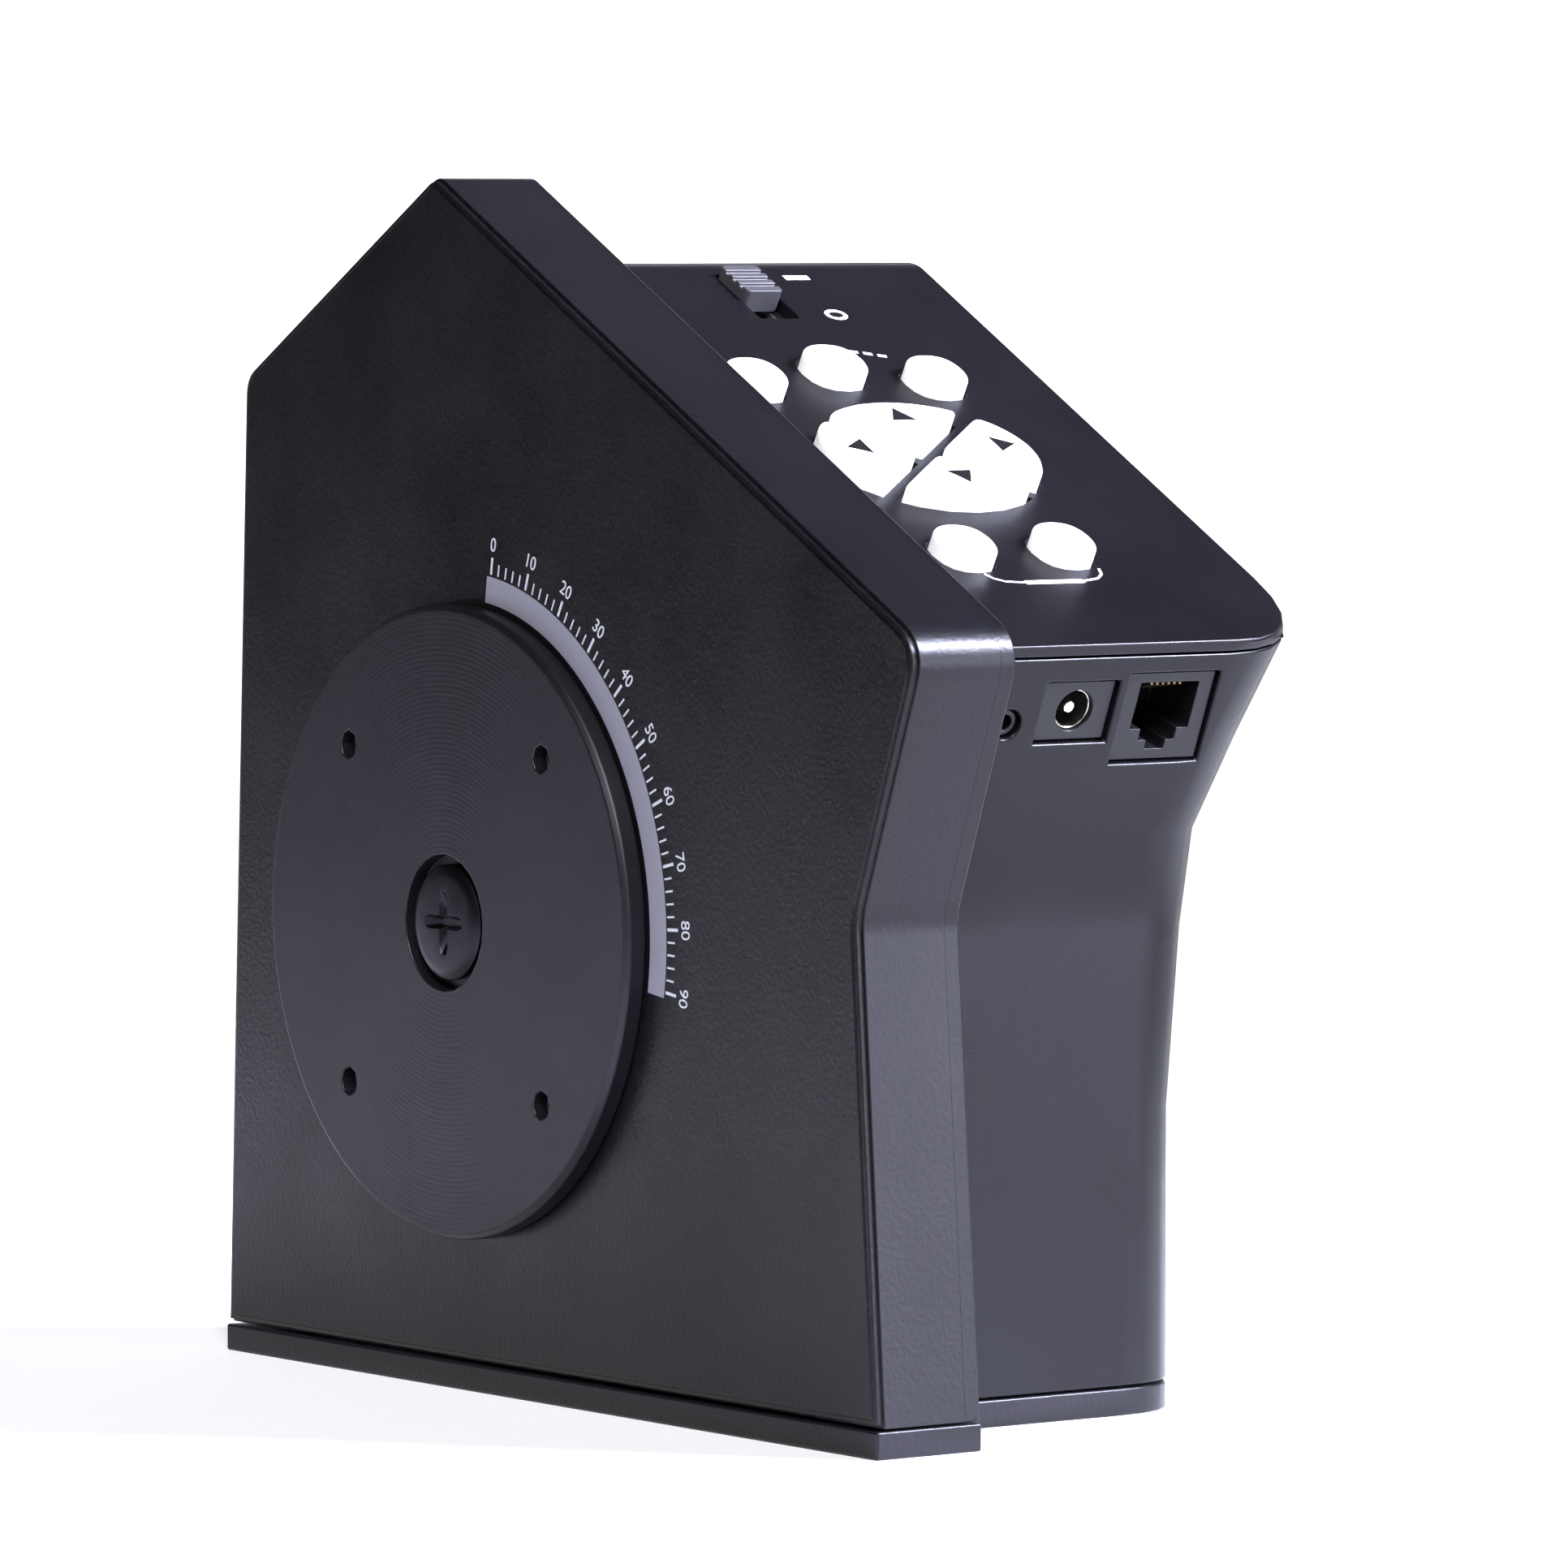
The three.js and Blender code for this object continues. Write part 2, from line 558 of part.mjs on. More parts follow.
function keyPillar(name, grow, low, high) {
  if (name in ARROWS) return arrowKey(ARROWS[name], grow, low, high);
  return prism(roundKeyOutline(ROUND_KEYS[name], grow), low, high, PANEL_FRAME, 4);
}

function pillPlace(name) {
  if (name in ROUND_KEYS) return [ROUND_KEYS[name].x, ROUND_KEYS[name].y];
  const angle = ARROWS[name] * RAD;
  return [PAD.x + Math.cos(angle) * PAD.width * 0.32, PAD.y + Math.sin(angle) * PAD.height * 0.3];
}

const KEYS = [...Object.keys(ROUND_KEYS), ...Object.keys(ARROWS)];

function keypadPanel() {
  let panel = wholeHead().intersect(panelLayer(PANEL_THICKNESS, 0));
  for (const [x, y] of KEYPAD_SCREWS) {
    const post = [BOARD_TOP + GAP, -PANEL_THICKNESS + 0.5];
    panel = join(panel, rod(KEYPAD_POST_R, ...post, PANEL_FRAME, x, y, 10));
    panel = cut(panel, rod(BOARD_SCREW_R, BOARD_TOP, -1, PANEL_FRAME, x, y, 8));
  }
  for (const name of KEYS) panel = cut(panel, keyPillar(name, KEY_CLEARANCE, -PANEL_THICKNESS - 1, 1));
  const slot = rectangle(SLOT.width, SLOT.length, SLOT.x, SLOT.y);
  return cut(panel, prism(rounded(slot, 1), -PANEL_THICKNESS - 1, 1, PANEL_FRAME));
}

function sheet(top, thickness) {
  const { inner, outer, back, front } = KEYPAD_BOARD;
  const outline = rectangle(outer - inner, back - front, (inner + outer) / 2, (back + front) / 2);
  return prism(rounded(outline, 3), top - thickness, top, PANEL_FRAME, 3);
}

function keypadMat() {
  let mat = sheet(MAT_TOP, MAT_THICKNESS);
  const through = [MAT_TOP - MAT_THICKNESS - 1, MAT_TOP + 1];
  for (const [x, y] of KEYPAD_SCREWS) {
    mat = cut(mat, rod(KEYPAD_POST_R + GAP, ...through, PANEL_FRAME, x, y, 10));
  }
  for (const place of Object.values(ROUND_KEYS)) {
    mat = cut(mat, prism(roundKeyOutline(place, KEY_FLANGE + GAP), ...through, PANEL_FRAME, 3));
  }
  const oval = new THREE.Shape();
  const grow = KEY_FLANGE + GAP;
  oval.absellipse(PAD.x, PAD.y, PAD.width / 2 + grow, PAD.height / 2 + grow, 0, 2 * Math.PI);
  mat = cut(mat, prism(oval, ...through, PANEL_FRAME, 10));
  const body = rectangle(SWITCH.width + 2 * GAP, SWITCH.length + 2 * GAP, SLOT.x, SLOT.y);
  return cut(mat, prism(polygon(body), ...through, PANEL_FRAME));
}

function keypadBoard() {
  let board = sheet(BOARD_TOP, BOARD_THICKNESS);
  for (const [x, y] of KEYPAD_SCREWS) {
    board = cut(board, rod(BOARD_SCREW_R + GAP, BOARD_FOOT - 1, BOARD_TOP + 1, PANEL_FRAME, x, y, 8));
  }
  return board;
}

function key(name) {
  const stem = keyPillar(name, 0, KEY_FOOT, KEY_PROUD);
  return join(stem, keyPillar(name, KEY_FLANGE, KEY_FOOT, MAT_TOP));
}

const SWITCH_CAVITY = { width: 4, drop: 1.8 };
const SLIDER_STEM = { width: 3, length: 3 };

function switchBody() {
  const outline = polygon(rectangle(SWITCH.width, SWITCH.length, SLOT.x, SLOT.y));
  const body = prism(outline, BOARD_TOP + GAP, MAT_TOP, PANEL_FRAME);
  const travel = SLIDER_STEM.length + SLIDER_TRAVEL + 2 * KEY_CLEARANCE + 1;
  const groove = rectangle(SWITCH_CAVITY.width, travel, SLOT.x, SLOT.y);
  return cut(body, prism(polygon(groove), MAT_TOP - SWITCH_CAVITY.drop, MAT_TOP + 1, PANEL_FRAME));
}

function slider() {
  const y = SLOT.y + (SLOT.length - SLIDER.length) / 2 - KEY_CLEARANCE;
  const outline = rounded(rectangle(SLIDER.width, SLIDER.length, SLOT.x, y), 0.8);
  const knob = prism(outline, MAT_TOP + GAP, SLIDER.proud, PANEL_FRAME, 3);
  const stem = prism(
    polygon(rectangle(SLIDER_STEM.width, SLIDER_STEM.length, SLOT.x, y)),
    MAT_TOP - SWITCH_CAVITY.drop + GAP,
    MAT_TOP + GAP + 0.5,
    PANEL_FRAME,
  );
  // Grip grooves across the knob.
  const grooves = [-2, 0, 2].map((offset) => block(
    [SLOT.x - SLIDER.width, y + offset - 0.4, SLIDER.proud - 0.5],
    [SLOT.x + SLIDER.width, y + offset + 0.4, SLIDER.proud + 1],
    PANEL_FRAME,
  ));
  return cut(join(knob, stem), ...grooves);
}

add('outer_shell', outerShell(), BLACK_ABS);
add('keypad_panel', keypadPanel(), PANEL_ABS);
add('keypad_mat', keypadMat(), MAT_SILICONE);
add('keypad_board', keypadBoard(), BOARD);
for (const name of KEYS) {
  add(name, key(name), SILICONE);
  const [x, y] = pillPlace(name);
  add(name.replace('key_', 'pill_'), rod(PILL_R, PILL_FOOT, PILL_TOP, PANEL_FRAME, x, y, 8), CARBON);
}
add('power_switch_body', switchBody(), STEEL);
add('power_switch_slider', slider(), SLIDER_GREY);

// ---------------------------------------------------------------- ports and main board

function jackBlock({ x, y, width, height }) {
  const nose = block(
    [x - width / 2, y - height / 2, -WALL - 2],
    [x + width / 2, y + height / 2, -JACK_SET_BACK],
    PORT_FRAME,
  );
  const body = block(
    [x - width / 2, JACK_BOTTOM, -JACK_DEPTH],
    [x + width / 2, y + height / 2, -WALL - GAP],
    PORT_FRAME,
  );
  return join(nose, body);
}

// Six-wire modular socket: a wide mouth with the plug's latch notch stepped below it.
function serialPort() {
  const { x, y } = PORTS.serial;
  const mouth = { width: 10.4, height: 7.2, centre: y + 1.6 };
  const floor = mouth.centre - mouth.height / 2;
  const cutter = (width, low, high) => block(
    [x - width / 2, low, -JACK_DEPTH + 2],
    [x + width / 2, high, 1],
    PORT_FRAME,
  );
  return cut(
    jackBlock(PORTS.serial),
    cutter(mouth.width, floor, floor + mouth.height),
    cutter(6.4, floor - 1.8, floor + 1),
    cutter(3.4, floor - 3.2, floor - 1),
  );
}

const POWER_HOLE_R = 3.15;
const POWER_PIN_R = 1;

function powerJack() {
  const { x, y } = PORTS.power;
  return cut(
    jackBlock(PORTS.power),
    rod(POWER_HOLE_R, -JACK_DEPTH + 3, 1, PORT_FRAME, x, y, 24),
    rod(POWER_PIN_R + GAP, -JACK_DEPTH - 1, 0, PORT_FRAME, x, y, 8),
  );
}

function powerPin() {
  const { x, y } = PORTS.power;
  return rod(POWER_PIN_R, -JACK_DEPTH - 0.5, -JACK_SET_BACK - 1.2, PORT_FRAME, x, y, 8);
}

function snapPort() {
  const { x, y, width, nose, hole } = PORTS.snap;
  const low = [x - width / 2, JACK_BOTTOM, -JACK_DEPTH];
  const body = block(low, [x + width / 2, y + 3.2, -WALL - GAP], PORT_FRAME);
  const barrel = rod(nose, -WALL - 2, -JACK_SET_BACK, PORT_FRAME, x, y, 20);
  return cut(join(body, barrel), rod(hole, -JACK_DEPTH + 2, 1, PORT_FRAME, x, y, 14));
}

function mainBoard() {
  const { inner, outer, start, end } = MAIN_BOARD;
  const low = [inner, MAIN_BOARD_TOP - BOARD_THICKNESS, -end];
  let board = block(low, [outer, MAIN_BOARD_TOP, -start], PORT_FRAME);
  for (const [x, depth] of BOARD_SCREWS) {
    const hole = [RIB_TOP - 1, MAIN_BOARD_TOP + 1];
    board = cut(board, rod(BOARD_SCREW_R + GAP, ...hole, BOARD_FRAME, x, depth, 8));
  }
  return board;
}

add('serial_port', serialPort(), JACK_NYLON);
add('power_jack', powerJack(), JACK_NYLON);
add('power_jack_pin', powerPin(), STEEL);
add('snap_port', snapPort(), JACK_NYLON);
add('main_board', mainBoard(), BOARD);

// ---------------------------------------------------------------- altitude hub and its drive

const HUB_FACE_X = INNER_X - GAP - HUB_THICKNESS;
const HUB_BEVEL = 0.8;
const HUB_RECESS_R = 10;
const HUB_RECESS = 2.3;
const SADDLE_HOLES = 25;         // half the spacing of the saddle's screw holes
const SADDLE_HOLE_R = 2.1;

const OUTER_BEARING_X = CHASSIS_X - 5.2;
const GEAR_X = CHASSIS_X + CHASSIS_THICKNESS + 1;
const SHAFT_END = GEAR_X + GEAR_WIDTH + 2;

const WHEEL_R = GEAR_MODULE * WHEEL_TEETH / 2;
const PINION_R = GEAR_MODULE * PINION_TEETH / 2;
const PINION_Z = -(WHEEL_R + PINION_R + 0.15);

function altitudeHub() {
  const back = INNER_X - GAP;
  let disc = rod(HUB_R, HUB_FACE_X + HUB_BEVEL, back, HUB_FRAME, 0, 0, 60);
  const crown = new THREE.CylinderGeometry(HUB_R - HUB_BEVEL, HUB_R, HUB_BEVEL, 60);
  crown.rotateX(-Math.PI / 2);
  crown.translate(0, 0, HUB_FACE_X + HUB_BEVEL / 2);
  crown.applyMatrix4(HUB_FRAME);
  disc = join(disc, solid(crown));
  disc = cut(
    disc,
    rod(HUB_RECESS_R, HUB_FACE_X - 1, HUB_FACE_X + HUB_RECESS, HUB_FRAME, 0, 0, 24),
    rod(SHAFT_R - 1.2, HUB_FACE_X - 1, back + 1, HUB_FRAME, 0, 0, 20),
  );
  for (const y of [-SADDLE_HOLES, SADDLE_HOLES]) {
    for (const z of [-SADDLE_HOLES, SADDLE_HOLES]) {
      disc = cut(disc, rod(SADDLE_HOLE_R, HUB_FACE_X - 1, back - 0.8, HUB_FRAME, y, z, 8));
    }
  }
  return disc;
}

function altitudeShaft() {
  const start = INNER_X;
  const shaft = rod(SHAFT_R, start, SHAFT_END, HUB_FRAME, 0, 0, 24);
  return cut(shaft, rod(2.3, start - 1, start + 10, HUB_FRAME, 0, 0, 12));
}

function hubScrew() {
  const seat = HUB_FACE_X + HUB_RECESS - GAP;
  const top = rod(8.5, seat - 2, seat, HUB_FRAME, 0, 0, 24);
  const shank = rod(2, seat - 0.5, INNER_X + 8, HUB_FRAME, 0, 0, 12);
  return cut(join(top, shank), rod(3, seat - 3, seat - 1, HUB_FRAME, 0, 0, 6));
}

function bearing(x) {
  const end = x + BEARING_WIDTH;
  const groove = cut(
    rod(BEARING_R - 1.8, end - 0.6, end + 1, HUB_FRAME, 0, 0, 24),
    rod(SHAFT_R + 1.8, end - 0.6, end + 1, HUB_FRAME, 0, 0, 24),
  );
  const bore = rod(SHAFT_R + RUNNING_CLEARANCE, x - 1, end + 1, HUB_FRAME, 0, 0, 24);
  return cut(rod(BEARING_R, x, end, HUB_FRAME, 0, 0, 24), groove, bore);
}

function chassis() {
  const outline = rounded(chassisRectangle(0), 4);
  let plate = prism(outline, CHASSIS_X, CHASSIS_X + CHASSIS_THICKNESS, SIDEWAYS, 3);
  plate = join(plate, rod(HUB_BOSS_R, OUTER_BEARING_X - 0.8, CHASSIS_X + 1, HUB_FRAME, 0, 0, 24));
  for (const [y, z] of CHASSIS_SCREWS) {
    plate = cut(plate, rod(CASE_SCREW_R + GAP, CHASSIS_X - 1, CHASSIS_X + 5, SIDEWAYS, y, z, 8));
  }
  const seat = [OUTER_BEARING_X - 2, OUTER_BEARING_X + BEARING_WIDTH + GAP];
  return cut(
    plate,
    rod(BEARING_R + RUNNING_CLEARANCE, ...seat, HUB_FRAME, 0, 0, 24),
    rod(SHAFT_R + 1.5, CHASSIS_X - 1, CHASSIS_X + 5, HUB_FRAME, 0, 0, 24),
    rod(4, CHASSIS_X - 1, CHASSIS_X + 5, HUB_FRAME, 0, PINION_Z, 20),
  );
}

// A spur gear's outline: straight-flanked teeth, slimmed for backlash, with a tooth or a
// space centred on the angle given.
function gearOutline(teeth, phase) {
  const pitchR = GEAR_MODULE * teeth / 2;
  const step = 2 * Math.PI / teeth;
  const tipR = pitchR + 0.8 * GEAR_MODULE;
  const rootR = pitchR - 1.15 * GEAR_MODULE;
  const shape = new THREE.Shape();
  const halfAtTip = 0.12 * step;
  const halfAtRoot = 0.3 * step;
  for (let tooth = 0; tooth < teeth; tooth += 1) {
    const centre = phase + tooth * step;
    const corners = [
      [rootR, centre - halfAtRoot],
      [tipR, centre - halfAtTip],
      [tipR, centre + halfAtTip],
      [rootR, centre + halfAtRoot],
    ];
    corners.forEach(([radius, angle], i) => {
      const x = radius * Math.cos(angle);
      const y = radius * Math.sin(angle);
      if (tooth === 0 && i === 0) shape.moveTo(x, y);
      else shape.lineTo(x, y);
    });
  }
  shape.closePath();
  return shape;
}

function altitudeWheel() {
  // A space faces straight down, towards the pinion.
  const phase = -Math.PI / 2 + Math.PI / WHEEL_TEETH;
  const wheel = prism(gearOutline(WHEEL_TEETH, phase), GEAR_X, GEAR_X + GEAR_WIDTH, HUB_FRAME);
  const bore = rod(SHAFT_R + RUNNING_CLEARANCE, GEAR_X - 1, GEAR_X + GEAR_WIDTH + 1, HUB_FRAME, 0, 0, 24);
  return cut(wheel, bore);
}

const PINION_FRAME = HUB_FRAME.clone().multiply(new THREE.Matrix4().makeTranslation(0, PINION_Z, 0));
const MOTOR_SHAFT_R = 2;

function pinion() {
  const gear = prism(gearOutline(PINION_TEETH, Math.PI / 2), GEAR_X, GEAR_X + GEAR_WIDTH, PINION_FRAME);
  const through = [GEAR_X - 1, GEAR_X + GEAR_WIDTH + 1];
  return cut(gear, rod(MOTOR_SHAFT_R + RUNNING_CLEARANCE, ...through, PINION_FRAME, 0, 0, 12));
}

function gearmotor() {
  const front = CHASSIS_X - GAP;
  const back = INNER_X + WALL + GAP;
  const can = rod(MOTOR_R, back, front, PINION_FRAME, 0, 0, 20);
  const boss = rod(3.5, front - 1, front + 1.2, PINION_FRAME, 0, 0, 16);
  const ear = block([-MOTOR_R - 4, -3, front - 1.2], [MOTOR_R + 4, 3, front], PINION_FRAME);
  const shaftHole = rod(MOTOR_SHAFT_R + RUNNING_CLEARANCE, front - 6, front + 3, PINION_FRAME, 0, 0, 12);
  return cut(join(can, boss, ear), shaftHole);
}

function motorShaft() {
  return rod(MOTOR_SHAFT_R, CHASSIS_X - GAP - 5.5, GEAR_X + GEAR_WIDTH, PINION_FRAME, 0, 0, 12);
}

add('altitude_hub', altitudeHub(), ALUMINIUM);
add('altitude_shaft', altitudeShaft(), STEEL);
add('hub_screw', hubScrew(), STEEL);
add('inner_bearing', bearing(INNER_BEARING_X), STEEL);
add('outer_bearing', bearing(OUTER_BEARING_X), STEEL);
add('chassis_plate', chassis(), ALUMINIUM);
add('altitude_wheel', altitudeWheel(), BRASS);
add('drive_pinion', pinion(), STEEL);
add('motor_shaft', motorShaft(), STEEL);
add('gearmotor', gearmotor(), STEEL);

// ---------------------------------------------------------------- neck plate and fasteners

const NECK_SCREWS = [...INNER_NECK_SCREWS, ...OUTER_NECK_SCREWS];
const SCREW_HEAD_HEIGHT = 1.8;

function neckPlate() {
  const innerHalf = block([INNER_X, NECK_FRONT_Y, 0], [SHELL_X, NECK_BACK_Y, NECK_PLATE_THICKNESS]);
  const outline = rounded(
    [
      [SHELL_X - 1, SHELL_FRONT_Y],
      [NECK_X, SHELL_FRONT_Y],
      [NECK_X, NECK_BACK_Y - SHELL_SETBACK],
      [SHELL_X - 1, NECK_BACK_Y - SHELL_SETBACK],
    ],
    [0, FRONT_CORNER_PLAN_R, BACK_CORNER_PLAN_R, 0],
  );
  let plate = join(innerHalf, prism(outline, 0, NECK_PLATE_THICKNESS, WORLD, 6));
  for (const [x, y] of NECK_SCREWS) {
    plate = cut(
      plate,
      rod(CASE_SCREW_R + GAP, -1, NECK_PLATE_THICKNESS + 1, WORLD, x, y, 8),
      rod(CASE_HEAD_R + GAP, -1, SCREW_HEAD_HEIGHT + 0.5, WORLD, x, y, 12),
    );
  }
  return plate;
}

// A cap screw along the frame's z axis: head above z = seat, shank below it, with a slot.
function screw(frame, x, y, seat, length, headR, shankR) {
  const top = rod(headR, seat, seat + SCREW_HEAD_HEIGHT, frame, x, y, 10);
  const shank = rod(shankR, seat - length, seat + 0.5, frame, x, y, 6);
  const slot = block(
    [x - headR, y - 0.35, seat + SCREW_HEAD_HEIGHT - 0.8],
    [x + headR, y + 0.35, seat + SCREW_HEAD_HEIGHT + 1],
    frame,
  );
  return cut(join(top, shank), slot);
}

add('neck_plate', neckPlate(), BLACK_ABS);

const CASE_SHANK_R = CASE_SCREW_R - GAP;
CASE_SCREWS.forEach(([y, z], i) => {
  const length = CASE_HEAD_X - (INNER_X + WALL + 4);
  const fitted = screw(SIDEWAYS, y, z, CASE_HEAD_X, length, CASE_HEAD_R, CASE_SHANK_R);
  add(`case_screw_${i + 1}`, fitted, STEEL);
});
CHASSIS_SCREWS.forEach(([y, z], i) => {
  const seat = CHASSIS_X + CHASSIS_THICKNESS + GAP;
  add(`chassis_screw_${i + 1}`, screw(SIDEWAYS, y, z, seat, 5, CASE_HEAD_R, CASE_SHANK_R), STEEL);
});
KEYPAD_SCREWS.forEach(([x, y], i) => {
  const turnedOver = PANEL_FRAME.clone().multiply(frameAt([0, 0, 0], [1, 0, 0], [0, -1, 0]));
  const seat = -BOARD_FOOT + GAP;
  add(`keypad_screw_${i + 1}`, screw(turnedOver, x, -y, seat, 5, 2, BOARD_SCREW_R - GAP), STEEL);
});
BOARD_SCREWS.forEach(([x, depth], i) => {
  const seat = MAIN_BOARD_TOP + GAP;
  add(`board_screw_${i + 1}`, screw(BOARD_FRAME, x, depth, seat, 3.2, 2, BOARD_SCREW_R - GAP), STEEL);
});
NECK_SCREWS.forEach(([x, y], i) => {
  const turnedOver = frameAt([0, 0, 0], [1, 0, 0], [0, -1, 0]);
  const seat = -SCREW_HEAD_HEIGHT - 0.5 + GAP;
  add(`neck_screw_${i + 1}`, screw(turnedOver, x, -y, seat, 10, CASE_HEAD_R, CASE_SHANK_R), STEEL);
});

export default head;
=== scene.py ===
import json
import math

import bmesh
import bpy
import numpy as np
from mathutils import Matrix, Vector

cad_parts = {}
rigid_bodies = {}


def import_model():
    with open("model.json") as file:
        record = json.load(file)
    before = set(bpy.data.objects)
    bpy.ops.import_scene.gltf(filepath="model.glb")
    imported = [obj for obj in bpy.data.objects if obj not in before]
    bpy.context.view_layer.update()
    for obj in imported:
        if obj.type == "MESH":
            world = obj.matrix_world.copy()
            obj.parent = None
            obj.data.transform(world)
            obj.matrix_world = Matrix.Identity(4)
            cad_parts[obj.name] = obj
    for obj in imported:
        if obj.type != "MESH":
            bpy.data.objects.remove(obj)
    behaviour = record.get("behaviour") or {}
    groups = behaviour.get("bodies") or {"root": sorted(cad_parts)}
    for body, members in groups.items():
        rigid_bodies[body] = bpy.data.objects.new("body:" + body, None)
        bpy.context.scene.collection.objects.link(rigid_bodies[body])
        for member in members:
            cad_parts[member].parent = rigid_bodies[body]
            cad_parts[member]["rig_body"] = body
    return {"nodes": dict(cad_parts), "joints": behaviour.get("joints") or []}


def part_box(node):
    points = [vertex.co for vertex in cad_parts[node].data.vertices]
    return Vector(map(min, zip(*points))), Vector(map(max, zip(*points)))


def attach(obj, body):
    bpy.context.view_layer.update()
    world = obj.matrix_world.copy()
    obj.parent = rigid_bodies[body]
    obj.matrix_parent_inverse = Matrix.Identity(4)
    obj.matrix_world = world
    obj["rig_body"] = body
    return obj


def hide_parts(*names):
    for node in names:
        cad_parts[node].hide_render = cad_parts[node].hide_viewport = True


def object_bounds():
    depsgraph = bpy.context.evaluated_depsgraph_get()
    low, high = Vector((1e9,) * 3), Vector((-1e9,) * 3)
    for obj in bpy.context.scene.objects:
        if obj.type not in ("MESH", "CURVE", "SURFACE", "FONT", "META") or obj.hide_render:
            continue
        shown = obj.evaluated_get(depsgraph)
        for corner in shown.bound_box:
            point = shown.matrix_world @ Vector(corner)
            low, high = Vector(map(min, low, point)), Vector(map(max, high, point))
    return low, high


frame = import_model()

CAD_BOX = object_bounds()
MM = 0.001

# ------------------------------------------------------------------ inner side shell and mid plate
# The tall, roof-shaped side of the head: a tray injection-moulded in black ABS from a
# spark-eroded mould, closed by a flat mid plate of the same plastic. Four case screws
# from the far side pull the tray, the plate and the outer shell together.


def linear(value):
    """An sRGB hex colour as the linear RGBA that a shader takes."""
    parts = [int(value[i:i + 2], 16) / 255 for i in (1, 3, 5)]
    return (*[c / 12.92 if c <= 0.04045 else ((c + 0.055) / 1.055) ** 2.4 for c in parts], 1.0)


def add_node(tree, kind, settings=None, inputs=None):
    """A shader node with its settings; an input is a value, or the (node, output) that feeds it."""
    node = tree.nodes.new("ShaderNode" + kind)
    for key, value in (settings or {}).items():
        setattr(node, key, value)
    for key, value in (inputs or {}).items():
        if isinstance(value, tuple) and isinstance(value[0], bpy.types.Node):
            tree.links.new(value[0].outputs[value[1]], node.inputs[key])
        else:
            node.inputs[key].default_value = value
    return node


def new_material(name):
    """An empty node material, its tree, and the texture coordinates of the piece it is on."""
    material = bpy.data.materials.new(name)
    material.use_nodes = True
    tree = material.node_tree
    tree.nodes.clear()
    return material, tree, add_node(tree, "TexCoord")


def finish_material(tree, inputs):
    """Ends a tree in one Principled shader with these inputs."""
    shader = add_node(tree, "BsdfPrincipled", inputs=inputs)
    add_node(tree, "OutputMaterial", inputs={"Surface": (shader, "BSDF")})


def moulded_plastic(name, base, sparkle_and_edge_tone, roughness, grain, depth, shine=0.25):
    """Moulded plastic: a pebbled grain of so many mm with grey sparkle painted on its tops, cloudy handling
    marks, and a lighter tone on sharp edges.
    """
    material, tree, place = new_material(name)
    pebbles = add_node(tree, "TexNoise", {}, {
        "Vector": (place, "Object"), "Scale": 1 / (grain * MM), "Detail": 2.0, "Roughness": 0.55})
    bump = add_node(tree, "Bump", {}, {
        "Height": (pebbles, "Fac"), "Strength": 0.5, "Distance": depth * MM})
    # Clouds about 25 mm across: where hands have polished the surface a little.
    clouds = add_node(tree, "TexNoise", {}, {
        "Vector": (place, "Object"), "Scale": 1 / (25 * MM), "Detail": 4.0, "Roughness": 0.6})
    polish = add_node(tree, "MapRange", {}, {
        "Value": (clouds, "Fac"), "From Min": 0.3, "From Max": 0.7,
        "To Min": roughness - 0.06, "To Max": roughness + 0.06})
    edge = add_node(tree, "NewGeometry")
    # A lighter tone on sharp edges, where pointiness runs high.
    sharp_edge_tone = add_node(tree, "MapRange", {}, {
        "Value": (edge, "Pointiness"), "From Min": 0.53, "From Max": 0.62, "To Min": 0.0, "To Max": 0.55})
    # Painted highlight: the pebble tops are painted a lighter grey, as sparkle where light grazes.
    painted_sparkle = add_node(tree, "MapRange", {}, {
        "Value": (pebbles, "Fac"), "From Min": 0.42, "From Max": 0.68, "To Min": 0.0, "To Max": 0.3})
    mask = add_node(tree, "Math", {"operation": "MAXIMUM"}, {0: (sharp_edge_tone, "Result"), 1: (painted_sparkle, "Result")})
    colour = add_node(tree, "Mix", {"data_type": "RGBA"}, {
        "Factor": (mask, "Value"), 6: linear(base), 7: linear(sparkle_and_edge_tone)})
    finish_material(tree, {
        "Base Color": (colour, 2), "Roughness": (polish, "Result"), "IOR": 1.53,
        "Specular IOR Level": shine, "Normal": (bump, "Normal")})
    return material


WELD = 0.004 * MM          # points closer than this are one point
FLAT = math.radians(0.6)   # faces that turn less than this are one face
HARD = math.radians(32)    # an edge that turns more than this is rounded


def softened(node, width, material, segments=3, crisp=None, reach=0.0):
    """The CAD piece as it leaves the mould or the mill: the same faces with hard edges rounded.

    Edges that `crisp` picks out, such as a seam between two flush mouldings, stay sharp, and
    are pressed `reach` along X to close on the next piece."""
    source = frame["nodes"][node]
    work = bmesh.new()
    work.from_mesh(source.data)
    for vertex in work.verts:
        if reach and crisp(vertex.co):
            vertex.co.x += reach
    bmesh.ops.remove_doubles(work, verts=work.verts, dist=WELD)
    bmesh.ops.dissolve_limit(work, angle_limit=FLAT, verts=work.verts, edges=work.edges)
    hard = [e for e in work.edges if len(e.link_faces) == 2 and e.calc_face_angle(0) > HARD]
    if crisp:
        hard = [e for e in hard if not all(crisp(v.co) for v in e.verts)]
    bmesh.ops.bevel(work, geom=hard, offset=width * MM, offset_type="OFFSET", segments=segments,
                    profile=0.5, affect="EDGES", clamp_overlap=False)
    bmesh.ops.recalc_face_normals(work, faces=work.faces)
    mesh = bpy.data.meshes.new("finished_" + node)
    work.to_mesh(mesh)
    work.free()
    return placed(mesh, "finished_" + node, source["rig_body"], material, [node])


